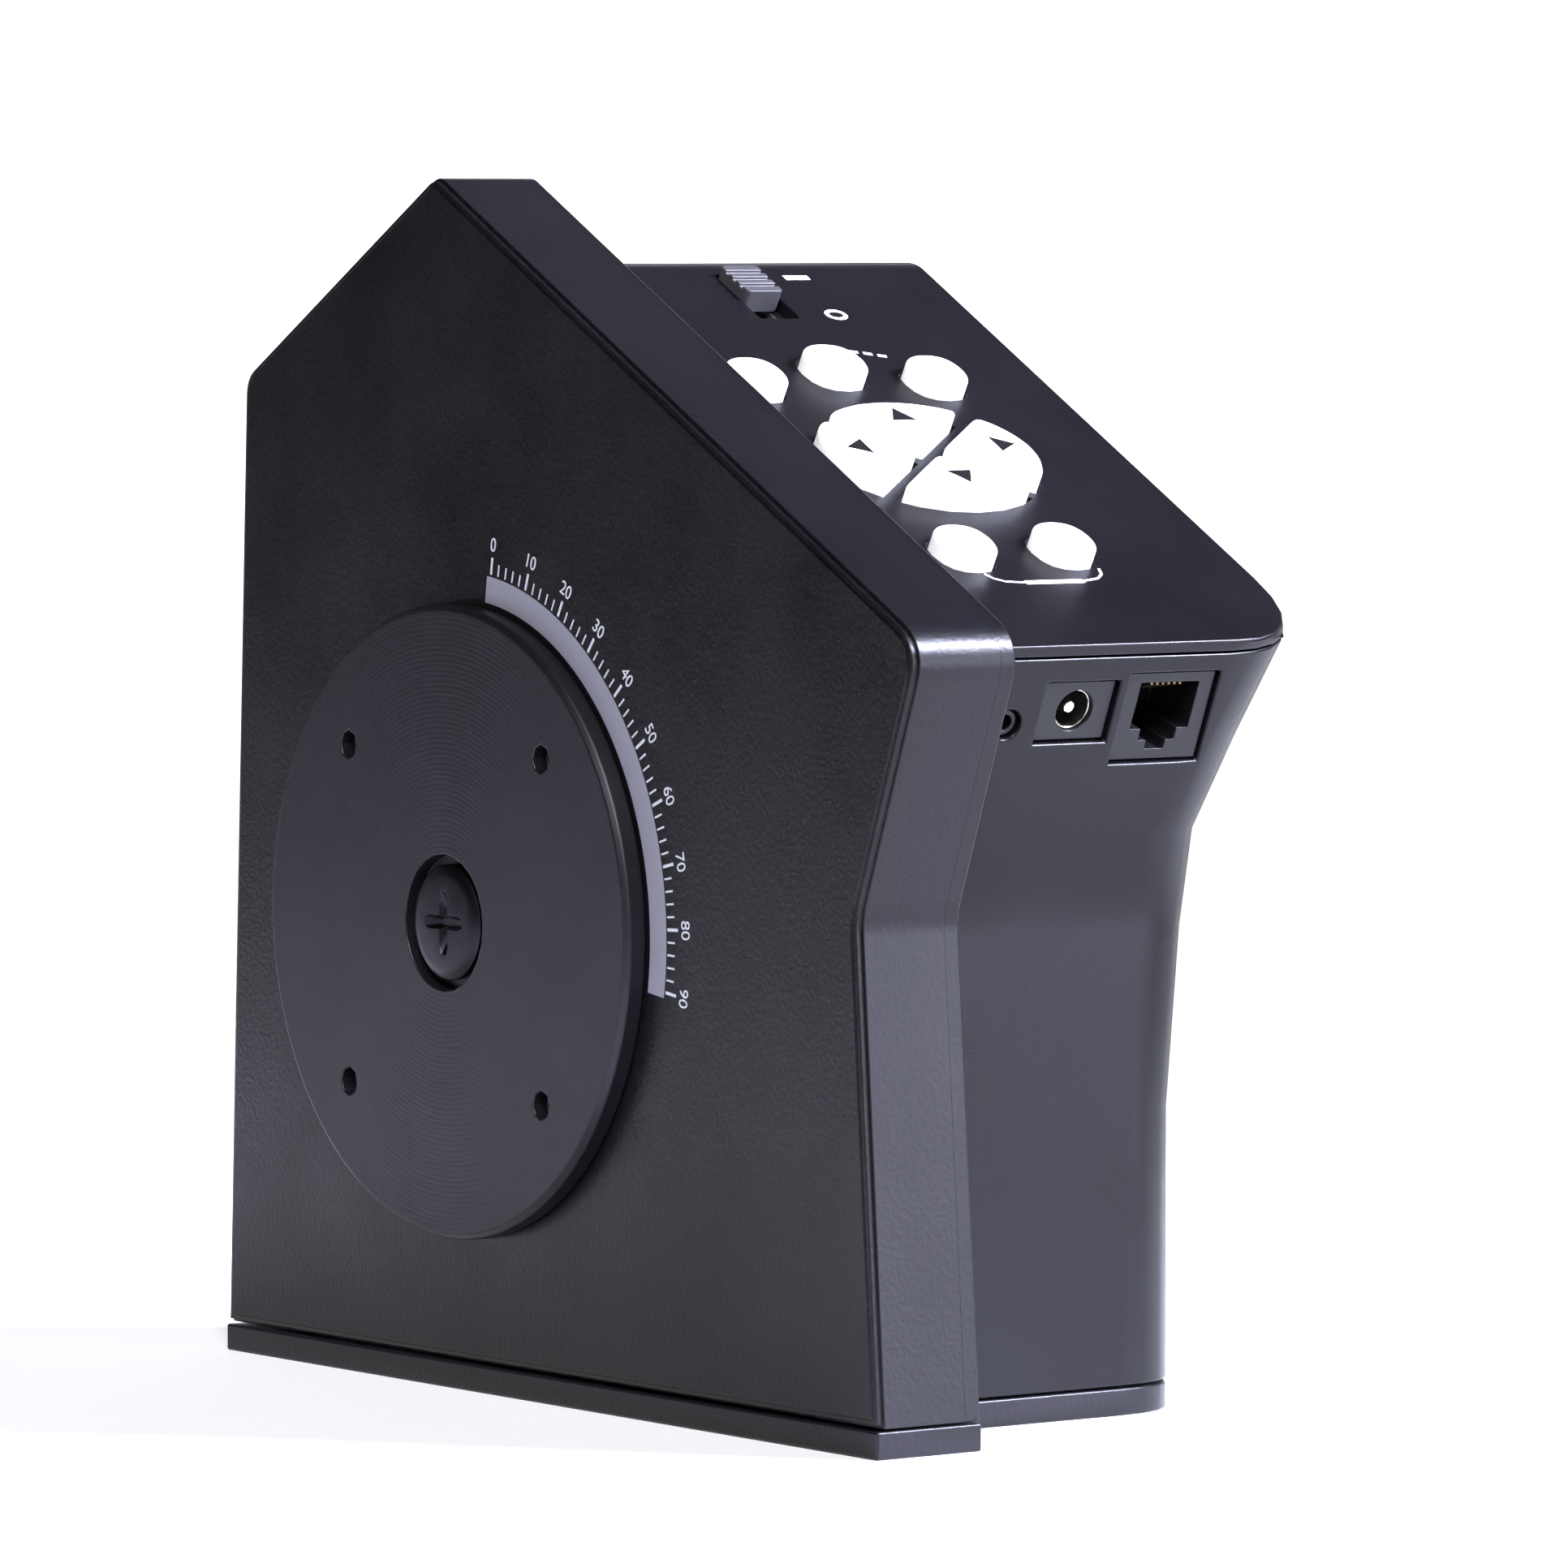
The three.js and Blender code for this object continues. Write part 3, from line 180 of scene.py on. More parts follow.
def placed(mesh, name, body, material, replaced=(), smooth=38):
    """Puts a mesh in the scene on its body, smooth-shaded up to an angle, with its finish."""
    mesh.materials.clear()
    mesh.materials.append(material)
    mesh.polygons.foreach_set("use_smooth", [True] * len(mesh.polygons))
    mesh.set_sharp_from_angle(angle=math.radians(smooth))
    piece = bpy.data.objects.new(name, mesh)
    bpy.context.scene.collection.objects.link(piece)
    even = piece.modifiers.new("even_normals", "WEIGHTED_NORMAL")
    even.keep_sharp = True
    if replaced:
        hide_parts(*replaced)
    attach(piece, body)
    return piece


# Black ABS with a spark-eroded grain, its pebble tops painted a lighter grey as a highlight where
# light grazes them. The pebbles are drawn 0.8 mm across, coarser than such a mould leaves, so that they
# show.
grained_abs = moulded_plastic("black_abs_spark_eroded", "#060608", "#1c1b22", 0.33, 0.8, 0.11, 0.2)
# The tray's rim closes on the mid plate, so the parting line shows only as a hairline.
SEAM_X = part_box("inner_shell")[1][0]
SEAM_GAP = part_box("mid_plate")[0][0] - SEAM_X
HAIRLINE = 0.04 * MM
AT_SEAM = 0.05 * MM
softened("inner_shell", 0.2, grained_abs, segments=2,
         crisp=lambda point: point.x > SEAM_X - AT_SEAM, reach=SEAM_GAP - HAIRLINE)
softened("mid_plate", 0.4, grained_abs,
         crisp=lambda point: point.x < SEAM_X + SEAM_GAP + AT_SEAM)

# ------------------------------------------------------------------ outer shell
# The deep cover that carries keypad and ports: black ABS again, from a finer mould, flaring
# out above the neck, with a soft vertical corner at the front and wells for the case screws.

# A finer, satin grain than the side shell's, so long surfaces carry a smooth sheen.
satin_abs = moulded_plastic("black_abs_satin", "#08080a", "#15141a", 0.29, 0.35, 0.025, 0.15)
softened("outer_shell", 0.4, satin_abs)

# ------------------------------------------------------------------ neck plate
# A flat 4 mm moulding that closes the shells and seats on the arm, with four recessed screws.

softened("neck_plate", 0.4, grained_abs)

# ------------------------------------------------------------------ keypad panel and its print
# A thin satin plate over the sloping face, dropped in from above and held by the keypad board's
# screws. Its white marks are screen-printed ink, a twentieth of a millimetre proud.

# Satin ABS, finer still and with a faint plum cast: a soft, even sheen over the whole slope.
panel_abs = moulded_plastic("panel_abs_satin", "#0b090d", "#17151b", 0.34, 0.3, 0.02, 0.17)

press = next(j for j in frame["joints"] if j["name"] == "press_up")
OUT = -Vector(press["axis"])
ACROSS = Vector((1, 0, 0))
UPHILL = OUT.cross(ACROSS)


def centre(node):
    """The middle of a CAD node's box."""
    low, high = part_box(node)
    return (Vector(low) + Vector(high)) / 2


def height_over(node, direction):
    """How far a CAD node reaches along a direction."""
    return max(v.co.dot(direction) for v in frame["nodes"][node].data.vertices)


PANEL_LEVEL = height_over("keypad_panel", OUT)


def on_panel(x, y, h=0.0):
    """A point on the panel: across and uphill of the pad's centre, and above the face, in mm."""
    pad = (centre("key_up") + centre("key_down") + centre("key_left") + centre("key_right")) / 4
    flat = pad + OUT * (PANEL_LEVEL - pad.dot(OUT))
    return flat + (ACROSS * x + UPHILL * y + OUT * h) * MM


OPENINGS_HALF_WIDTH = 24 * MM
OPENINGS_MARGIN = 4 * MM
panel_middle = on_panel(0, 0).x
panel_foot = -height_over("keypad_panel", -UPHILL) + OPENINGS_MARGIN
panel_head = height_over("keypad_panel", UPHILL) - OPENINGS_MARGIN


def at_opening(point):
    """Whether a point is at a key's or the slider's opening, away from the panel's own edge."""
    return abs(point.x - panel_middle) < OPENINGS_HALF_WIDTH and panel_foot < point.dot(UPHILL) < panel_head


softened("keypad_panel", 0.4, panel_abs, crisp=at_opening)


SUNK = 0.02   # mm that a printed or stuck stroke is set into its face


def ribbon(points, width, thickness, at):
    """A printed stroke along points, in mm on the face that `at` maps to."""
    mesh = bmesh.new()
    flat = [Vector(p) for p in points]
    rows = []
    for i, point in enumerate(flat):
        ahead = flat[min(i + 1, len(flat) - 1)] - flat[max(i - 1, 0)]
        side = Vector((-ahead.y, ahead.x)).normalized() * width / 2
        corners = [point + side, point - side]
        rows.append([mesh.verts.new(at(c.x, c.y, h)) for h in (-SUNK, thickness) for c in corners])
    for a, b in zip(rows, rows[1:]):
        for i, j in ((0, 1), (1, 3), (3, 2), (2, 0)):
            mesh.faces.new((a[i], a[j], b[j], b[i]))
    for row, turn in ((rows[0], 1), (rows[-1], -1)):
        mesh.faces.new([row[i] for i in (0, 2, 3, 1)][::turn])
    bmesh.ops.recalc_face_normals(mesh, faces=mesh.faces)
    return mesh


def joined(parts, name):
    """One mesh from several bmeshes."""
    mesh = bpy.data.meshes.new(name)
    whole = bmesh.new()
    for part in parts:
        part.to_mesh(mesh)
        whole.from_mesh(mesh)
        part.free()
    whole.to_mesh(mesh)
    whole.free()
    return mesh


def arc(radius, start, end, steps, x, y, stretch):
    """Points on an arc between two angles in degrees, stretched along y."""
    turn = [math.radians(start + (end - start) * i / steps) for i in range(steps + 1)]
    return [(x + radius * math.cos(t), y + radius * stretch * math.sin(t)) for t in turn]


def printed_ink(name, thin, full):
    """Screen-printing ink: flat, with the slight mottle of the mesh it was pushed through."""
    material, tree, place = new_material(name)
    mottle = add_node(tree, "TexNoise", {}, {
        "Vector": (place, "Object"), "Scale": 1 / (0.4 * MM), "Detail": 2.0})
    colour = add_node(tree, "Mix", {"data_type": "RGBA"}, {
        "Factor": (mottle, "Fac"), 6: linear(thin), 7: linear(full)})
    finish_material(tree, {
        "Base Color": (colour, 2), "Roughness": 0.6, "IOR": 1.48, "Specular IOR Level": 0.15})
    return material


# Opaque white ink: crisp flat marks, a touch uneven where the screen laid less.
white_ink = printed_ink("screen_print_ink_white", "#c9cad2", "#f2f3f7")

slide = centre("power_switch_slider") - on_panel(0, 0)
SLIDE_X = slide.dot(ACROSS) / MM
SLIDE_Y = slide.dot(UPHILL) / MM
MARK_X = SLIDE_X + 10.8
INK = 0.05   # mm, how thick the ink lies
strokes = [
    # On is a bar and off is a ring, beside the two ends of the slide's travel.
    ribbon([(MARK_X - 2.2, SLIDE_Y + 3.3), (MARK_X + 2.2, SLIDE_Y + 3.3)], 1.3, INK, on_panel),
    ribbon(arc(1.6, 0, 360, 24, MARK_X, SLIDE_Y - 8.1, 0.75), 0.7, INK, on_panel),
    # A bracket with a bar under the two lower keys.
    ribbon([(-10.4, -31.6), (-9.6, -33.0), (-8.0, -33.9), (-4.6, -34.3)], 0.4, INK, on_panel),
    ribbon([(10.6, -31.0), (10.0, -32.6), (8.6, -33.7), (5.4, -34.3)], 0.4, INK, on_panel),
    ribbon([(-4.8, -34.3), (5.6, -34.3)], 1.0, INK, on_panel),
]
# Three short dashes in the arc over the upper keys.
strokes += [ribbon([(x, y), (x + 1.4, y - 0.4)], 0.7, INK, on_panel)
            for x, y in ((7.6, 33.0), (9.8, 32.4), (12.0, 31.7))]
placed(joined(strokes, "panel_print"), "panel_print", "head", white_ink)

# ------------------------------------------------------------------ keys
# Nine silicone keys, moulded in one translucent white rubber and lit from the board below,
# each with a rim that keeps it under the panel. The four arrow keys make an oval pad.


EDGE_STEP = 0.4        # mm between points along a key's edge
EDGE_POINTS = 48       # but at least this many
EASE_ROUNDS = 10       # each round eases the corners a little more
TOP_FACE = 0.05 * MM   # a face this close to the top is part of it
SHOULDER = 0.8         # mm, rounding round the top
CROWN = 0.3            # mm, how far the middle stands above the shoulder
RIM = 0.7              # mm, the lip that stays under the panel
RIM_HEIGHT = 1.0       # mm


def key_outline(node):
    """The edge of the key's top face, in order and evenly spaced, with its corners eased."""
    work = bmesh.new()
    work.from_mesh(frame["nodes"][node].data)
    bmesh.ops.remove_doubles(work, verts=work.verts, dist=WELD)
    top = max(v.co.dot(OUT) for v in work.verts)
    crown = {f for f in work.faces if all(v.co.dot(OUT) > top - TOP_FACE for v in f.verts)}
    rim = [e for e in work.edges if sum(f in crown for f in e.link_faces) == 1]
    after = {}
    for edge in rim:
        for a, b in (edge.verts, reversed(edge.verts)):
            after.setdefault(a, []).append(b)
    walk = [rim[0].verts[0], after[rim[0].verts[0]][0]]
    while walk[-1] != walk[0]:
        walk.append(next(v for v in after[walk[-1]] if v != walk[-2]))
    path = np.array([(v.co.dot(ACROSS) / MM, v.co.dot(UPHILL) / MM) for v in walk])
    work.free()
    lengths = np.concatenate([[0], np.cumsum(np.linalg.norm(np.diff(path, axis=0), axis=1))])
    count = max(EDGE_POINTS, int(lengths[-1] / EDGE_STEP))
    even = np.linspace(0, lengths[-1], count, endpoint=False)
    points = np.stack([np.interp(even, lengths, path[:, i]) for i in (0, 1)], axis=1)
    for _ in range(EASE_ROUNDS):
        points = (np.roll(points, 1, 0) + 2 * points + np.roll(points, -1, 0)) / 4
    if np.sum(points[:, 0] * np.roll(points[:, 1], -1) - np.roll(points[:, 0], -1) * points[:, 1]) < 0:
        points = points[::-1]
    return [Vector(p) for p in points], top


def key_cap(node, material):
    """A soft-topped key: rim, straight sides, a rounded shoulder and a slightly domed crown."""
    outline, top = key_outline(node)
    middle = sum(outline, Vector((0, 0))) / len(outline)
    foot = min(v.co.dot(OUT) for v in frame["nodes"][node].data.vertices)
    rim_top = foot + RIM_HEIGHT * MM
    rings = [(RIM, foot), (RIM, rim_top), (0.0, rim_top), (0.0, top - (SHOULDER + CROWN) * MM)]
    for step in range(1, 6):
        turn = math.radians(90 * step / 5)
        fall = SHOULDER * (math.sin(turn) - 1) - CROWN
        rings.append((SHOULDER * (math.cos(turn) - 1), top + fall * MM))
    normals = []
    for i, point in enumerate(outline):
        ahead = outline[(i + 1) % len(outline)] - outline[i - 1]
        normals.append(Vector((ahead.y, -ahead.x)).normalized())
    mesh = bmesh.new()

    def ring(points, level):
        return [mesh.verts.new((ACROSS * p.x + UPHILL * p.y) * MM + OUT * level) for p in points]

    loops = [ring([p + n * outward for p, n in zip(outline, normals)], level) for outward, level in rings]
    edge = [p - n * SHOULDER for p, n in zip(outline, normals)]
    loops += [ring([middle.lerp(p, share) for p in edge], top - CROWN * share ** 2 * MM)
              for share in (0.85, 0.7, 0.5, 0.25)]
    count = len(outline)
    for low, high in zip(loops, loops[1:]):
        for i in range(count):
            mesh.faces.new((low[i], low[(i + 1) % count], high[(i + 1) % count], high[i]))
    peak = ring([middle], top)[0]
    for i in range(count):
        mesh.faces.new((loops[-1][i], loops[-1][(i + 1) % count], peak))
    mesh.faces.new(loops[0][::-1])
    bmesh.ops.recalc_face_normals(mesh, faces=mesh.faces)
    placed(joined([mesh], "cap_" + node), "cap_" + node, node, material, [node], smooth=60)
    return top


# Translucent silicone over a lamp: a white glow, softer at the sides, under a faint matt skin.
silicone, tree, place = new_material("silicone_translucent_backlit")
skin = add_node(tree, "TexNoise", {}, {"Vector": (place, "Object"), "Scale": 1 / (0.5 * MM), "Detail": 3.0})
skin_bump = add_node(tree, "Bump", {}, {"Height": (skin, "Fac"), "Strength": 0.25, "Distance": 0.02 * MM})
dust = add_node(tree, "TexNoise", {}, {"Vector": (place, "Object"), "Scale": 1 / (6 * MM), "Detail": 4.0})
rubber = add_node(tree, "Mix", {"data_type": "RGBA"}, {
    "Factor": (dust, "Fac"), 6: linear("#eef0f5"), 7: linear("#fbfcff")})
glow = add_node(tree, "MapRange", {}, {"Value": (dust, "Fac"), "To Min": 0.1, "To Max": 0.15})
finish_material(tree, {
    "Base Color": (rubber, 2), "Roughness": 0.5, "IOR": 1.41, "Subsurface Weight": 0.25,
    "Subsurface Radius": (1.0, 0.95, 0.9), "Subsurface Scale": 1.2 * MM,
    "Emission Color": linear("#f4f7ff"), "Emission Strength": (glow, "Result"),
    "Normal": (skin_bump, "Normal")})

# Printed arrowheads: black ink on the rubber.
black_ink = printed_ink("pad_print_ink_black", "#040405", "#0e0e11")

# Where each arrowhead is printed, from the pad's centre, and which way it points in degrees.
ARROWS = {
    "key_up": (0, 8.8, 90), "key_down": (0, -8.8, 270),
    "key_left": (-13, 0, 180), "key_right": (13, 0, 0)}
# An arrowhead's reach in mm: forward to its tip, back to its tail, and to each side.
TIP, TAIL, BARB = 2.1, 1.4, 2.1
# It is printed through the rubber's skin, from half a millimetre down to just proud of the crown.
GLYPH_LEVELS = (-0.5, 0.03)
for node in sorted(n for n in frame["nodes"] if n.startswith("key_")):
    top = key_cap(node, silicone)
    if node not in ARROWS:
        continue
    x, y, angle = ARROWS[node]
    turn = math.radians(angle)
    point = Vector((math.cos(turn), math.sin(turn)))
    side = Vector((-point.y, point.x))
    corners = [point * TIP, side * BARB - point * TAIL, side * -BARB - point * TAIL]
    glyph = bmesh.new()
    key_height = (top - PANEL_LEVEL) / MM
    layers = [[glyph.verts.new(on_panel(x + c.x, y + c.y, key_height + level)) for c in corners]
              for level in GLYPH_LEVELS]
    glyph.faces.new(layers[1])
    glyph.faces.new(layers[0][::-1])
    for i in range(3):
        j = (i + 1) % 3
        glyph.faces.new((layers[0][i], layers[0][j], layers[1][j], layers[1][i]))
    bmesh.ops.recalc_face_normals(glyph, faces=glyph.faces)
    placed(joined([glyph], "arrow_" + node), "arrow_" + node, node, black_ink)

# ------------------------------------------------------------------ power slide
# A moulded grey slider with three grip grooves, riding in a slide switch under the panel.

# Dark grey satin ABS: one soft block, a shade lighter than the black around it.
grey_abs = moulded_plastic("slider_abs_grey", "#37363a", "#4f4e53", 0.42, 0.3, 0.02)
softened("power_switch_slider", 0.18, grey_abs, segments=2)


def plated(name, base, tarnish, roughness, brush):
    """Plated or turned metal: fine scratches of so many mm and faint tarnish."""
    material, tree, place = new_material(name)
    scratches = add_node(tree, "TexNoise", {}, {
        "Vector": (place, "Object"), "Scale": 1 / (brush * MM), "Detail": 3.0, "Distortion": 0.4})
    bump = add_node(tree, "Bump", {}, {
        "Height": (scratches, "Fac"), "Strength": 0.2, "Distance": 0.01 * MM})
    stain = add_node(tree, "TexNoise", {}, {
        "Vector": (place, "Object"), "Scale": 1 / (4 * MM), "Detail": 4.0})
    colour = add_node(tree, "Mix", {"data_type": "RGBA"}, {
        "Factor": (stain, "Fac"), 6: linear(base), 7: linear(tarnish)})
    shine = add_node(tree, "MapRange", {}, {
        "Value": (scratches, "Fac"), "To Min": roughness - 0.07, "To Max": roughness + 0.1})
    finish_material(tree, {
        "Base Color": (colour, 2), "Metallic": 1.0, "Roughness": (shine, "Result"),
        "Normal": (bump, "Normal")})
    return material


# Zinc-plated steel: cool, cloudy silver, faintly rubbed.
zinc_steel = plated("steel_zinc_plated", "#b4b7bc", "#8f9297", 0.32, 0.4)
softened("power_switch_body", 0.2, zinc_steel, segments=2)

# ------------------------------------------------------------------ keypad mat, pills and board
# Under the panel: a pale silicone mat around the keys, a carbon pill under each key, and a
# glass-epoxy board with the contact pads, hung from the panel's posts by four screws.

# Uncoloured silicone: milky and matt.
mat_rubber = moulded_plastic("silicone_mat_translucent", "#c9ccd2", "#dfe1e6", 0.6, 0.6, 0.03)
softened("keypad_mat", 0.15, mat_rubber, segments=1)

# Carbon-loaded rubber: flat charcoal with a fine soot grain.
carbon = moulded_plastic("carbon_rubber", "#141416", "#262629", 0.8, 0.2, 0.02)
for node in sorted(n for n in frame["nodes"] if n.startswith("pill_")):
    softened(node, 0.12, carbon, segments=2)

# Glass-epoxy board: green solder mask, the weave just showing, over paler copper islands.
board_mask, tree, place = new_material("glass_epoxy_solder_mask")
weave = add_node(tree, "TexChecker", {}, {"Vector": (place, "Object"), "Scale": 1 / (0.6 * MM)})
copper = add_node(tree, "TexVoronoi", {"feature": "DISTANCE_TO_EDGE"}, {
    "Vector": (place, "Object"), "Scale": 1 / (5 * MM)})
islands = add_node(tree, "MapRange", {}, {
    "Value": (copper, "Distance"), "From Min": 0.05, "From Max": 0.08})
mask_colour = add_node(tree, "Mix", {"data_type": "RGBA"}, {
    "Factor": (islands, "Result"), 6: linear("#0f3a24"), 7: linear("#1f5c39")})
weave_bump = add_node(tree, "Bump", {}, {"Height": (weave, "Fac"), "Strength": 0.1, "Distance": 0.01 * MM})
finish_material(tree, {
    "Base Color": (mask_colour, 2), "Roughness": 0.35, "IOR": 1.52, "Normal": (weave_bump, "Normal")})
for node in ("keypad_board", "main_board"):
    softened(node, 0.15, board_mask, segments=1)

# ------------------------------------------------------------------ sockets on the port face
# A snap socket, a barrel power jack and a six-wire modular socket, all moulded in black nylon
# and soldered along the front edge of the main board, looking out through the port face.

# Moulded nylon: near black, with a soft shine on its rims.
nylon = moulded_plastic("jack_nylon_black", "#08080a", "#18181c", 0.36, 0.5, 0.02)
for node in ("serial_port", "power_jack", "snap_port"):
    softened(node, 0.2, nylon, segments=2)
# Nickel over brass: warm silver with a bright gleam.
nickel = plated("nickel_plated_brass", "#c9c6be", "#a8a59e", 0.22, 0.3)
softened("power_jack_pin", 0.25, nickel)

pin = np.array([v.co for v in frame["nodes"]["power_jack_pin"].data.vertices])
axis = Vector(np.linalg.svd(pin - pin.mean(0))[2][0])
PORT_OUT = axis if axis.y < 0 else -axis
PORT_UP = PORT_OUT.cross(ACROSS)


LIP = 0.15   # mm, the chamfer on a sleeve's front edges
TUBE_SIDES = 40


def tube(outer, inner, low, high, centre_at, out):
    """A short turned sleeve along `out`, its front edges chamfered; radii and levels in mm."""
    up = out.cross(ACROSS).normalized()
    lip = min(LIP, (outer - inner) / 3)
    profile = [(inner, low), (outer, low), (outer, high - lip), (outer - lip, high),
               (inner + lip, high), (inner, high - lip)]
    mesh = bmesh.new()
    rows = []
    for i in range(TUBE_SIDES):
        turn = 2 * math.pi * i / TUBE_SIDES
        spoke = ACROSS * math.cos(turn) + up * math.sin(turn)
        rows.append([mesh.verts.new(centre_at + spoke * r * MM + out * h * MM) for r, h in profile])
    for i in range(TUBE_SIDES):
        a, b = rows[i], rows[(i + 1) % TUBE_SIDES]
        for j in range(len(profile)):
            k = (j + 1) % len(profile)
            mesh.faces.new((a[j], a[k], b[k], b[j]))
    bmesh.ops.recalc_face_normals(mesh, faces=mesh.faces)
    return mesh


# The power jack's sprung sleeve, seen as a bright ring just inside its hole.
jack_front = height_over("power_jack", PORT_OUT)
hole = Vector(pin.mean(0))
hole += PORT_OUT * (jack_front - hole.dot(PORT_OUT))
SLEEVE_R, SLEEVE_BORE = 3.08, 2.8
SLEEVE_BACK, SLEEVE_FRONT = -8.5, -0.6   # mm from the jack's face
sleeve = tube(SLEEVE_R, SLEEVE_BORE, SLEEVE_BACK, SLEEVE_FRONT, hole, PORT_OUT)
placed(joined([sleeve], "power_jack_sleeve"), "power_jack_sleeve", "head", nickel)

# Six sprung contacts in the modular socket, bent down from its roof at a slant. The gold flash is
# painted well darker than real gold, as painted shade for the dark socket it sits in.
gold = plated("contact_wire_gold", "#7a6a4a", "#4f4530", 0.4, 0.2)
socket_low, socket_high = (Vector(c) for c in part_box("serial_port"))
socket = (socket_low + socket_high) / 2
mouth = socket + PORT_OUT * (height_over("serial_port", PORT_OUT) - socket.dot(PORT_OUT))
ROOF = 1.75   # mm of nylon over the socket's mouth
WIRES, WIRE_PITCH = 6, 1.02
WIRE_WIDTH, WIRE_THICKNESS = 0.36, 0.4
WIRE_PATH = [(1.2, 0.5), (3.2, 1.6), (5.4, 2.9), (7.6, 3.6), (9.2, 3.7)]
roof = height_over("serial_port", PORT_UP) - ROOF * MM
mouth += PORT_UP * (roof - mouth.dot(PORT_UP))
wires = []
for i in range(WIRES):
    x = (i - (WIRES - 1) / 2) * WIRE_PITCH

    def beside(a, b, h, x=x):
        """Along the wire: a is depth into the socket, b is below its roof, h is to one side."""
        return mouth + ACROSS * (x + h) * MM - PORT_OUT * a * MM - PORT_UP * b * MM

    wires.append(ribbon(WIRE_PATH, WIRE_WIDTH, WIRE_THICKNESS, beside))
placed(joined(wires, "serial_contacts"), "serial_contacts", "head", gold)

# ------------------------------------------------------------------ altitude hub and scale
# A turned aluminium disc, black anodised, that carries the saddle: four tapped holes, a centre
# screw in a recess, and concentric tool marks. Round it the shell bears the altitude scale.

hub = centre("altitude_shaft")
HUB_Y, HUB_Z = hub.y, hub.z
FACE_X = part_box("inner_shell")[0][0]

# Black anodising over lathe marks: concentric rings catch the light. They are drawn about 0.75 mm
# apart, coarser than a lathe leaves them, so that they show.
anodised, tree, place = new_material("aluminium_black_anodised_turned")
spun = add_node(tree, "Mapping", {}, {"Vector": (place, "Object"), "Location": (0, -HUB_Y, -HUB_Z)})
rings = add_node(tree, "TexWave", {"wave_type": "RINGS", "rings_direction": "X"}, {
    "Vector": (spun, "Vector"), "Scale": 1 / (2.4 * MM), "Distortion": 0.15, "Detail": 2.0})
ring_bump = add_node(tree, "Bump", {}, {"Height": (rings, "Fac"), "Strength": 0.25, "Distance": 0.02 * MM})
blotch = add_node(tree, "TexNoise", {}, {
    "Vector": (place, "Object"), "Scale": 1 / (12 * MM), "Detail": 4.0})
dye = add_node(tree, "Mix", {"data_type": "RGBA"}, {
    "Factor": (blotch, "Fac"), 6: linear("#1b1b20"), 7: linear("#27272d")})
satin = add_node(tree, "MapRange", {}, {"Value": (rings, "Fac"), "To Min": 0.32, "To Max": 0.42})
finish_material(tree, {
    "Base Color": (dye, 2), "Metallic": 0.7, "Roughness": (satin, "Result"),
    "Normal": (ring_bump, "Normal")})
softened("altitude_hub", 0.25, anodised)
softened("altitude_shaft", 0.4, zinc_steel)


def on_side(y, z, h):
    """A point on the inner face, from the hub's axis: forwards, upwards and outwards, in mm."""
    return Vector((FACE_X - h * MM, HUB_Y - y * MM, HUB_Z + z * MM))


def round_hub(radius, angle, h):
    """The same by radius and by degrees forward from straight up."""
    turn = math.radians(angle)
    return on_side(radius * math.sin(turn), radius * math.cos(turn), h)


# The scale's ink is a softer grey white than the keypad's.
grey_ink = printed_ink("screen_print_ink_grey", "#8d8d98", "#b9bac4")
SCALE_START, SCALE_END = 8, 98   # degrees forward from straight up
SCALE_SPAN = SCALE_END - SCALE_START
TICK_FOOT, TICK_TOP, TEN_TOP = 51.5, 53.2, 54.0   # mm from the hub's axis
TICK_WIDTH, TEN_WIDTH, TICK_INK = 0.28, 0.45, 0.06
marks = []
for degree in range(0, SCALE_SPAN + 1, 2):
    inner, outer = TICK_FOOT, TICK_TOP if degree % 10 else TEN_TOP
    angle = SCALE_START + degree
    turn = math.radians(angle)
    stroke = [(r * math.sin(turn), r * math.cos(turn)) for r in (inner, outer)]
    marks.append(ribbon(stroke, TICK_WIDTH if degree % 10 else TEN_WIDTH, TICK_INK, on_side))
placed(joined(marks, "scale_ticks"), "scale_ticks", "head", grey_ink)

# The scale's plain band: a grey self-adhesive strip round the hub.
grey_strip = moulded_plastic("polyester_strip_grey", "#62616d", "#7c7b88", 0.42, 0.4, 0.01)
BAND_R, BAND_WIDTH, BAND_THICKNESS = 49.2, 3.9, 0.12
band = [(BAND_R * math.sin(math.radians(a)), BAND_R * math.cos(math.radians(a)))
        for a in np.linspace(SCALE_START - 1, SCALE_END + 1, 60)]
strip = ribbon(band, BAND_WIDTH, BAND_THICKNESS, on_side)
placed(joined([strip], "scale_band"), "scale_band", "head", grey_strip)

# Printed numbers, one to each ten degrees, standing outwards from the axis.
NUMBER_R, NUMBER_SIZE, NUMBER_RISE = 54.9, 2.9, 0.04
numbers = []
for degree in range(0, SCALE_SPAN + 1, 10):
    curve = bpy.data.curves.new(f"number_{degree}", "FONT")
    curve.body = str(degree)
    curve.size = NUMBER_SIZE * MM
    curve.align_x = "CENTER"
    curve.extrude = 0.03 * MM
    holder = bpy.data.objects.new(f"number_{degree}", curve)
    bpy.context.scene.collection.objects.link(holder)
    bpy.context.view_layer.update()
    flat = bpy.data.meshes.new_from_object(holder.evaluated_get(bpy.context.evaluated_depsgraph_get()))
    bpy.data.objects.remove(holder)
    turn = math.radians(SCALE_START + degree)
    upward = Vector((0, -math.sin(turn), math.cos(turn)))
    along = Vector((0, -math.cos(turn), -math.sin(turn)))
    basis = Matrix((along, upward, Vector((-1, 0, 0)))).transposed().to_4x4()
    foot = round_hub(NUMBER_R, SCALE_START + degree, NUMBER_RISE)
    flat.transform(Matrix.Translation(foot) @ basis)
    digit = bmesh.new()
    digit.from_mesh(flat)
    numbers.append(digit)
placed(joined(numbers, "scale_numbers"), "scale_numbers", "head", grey_ink)

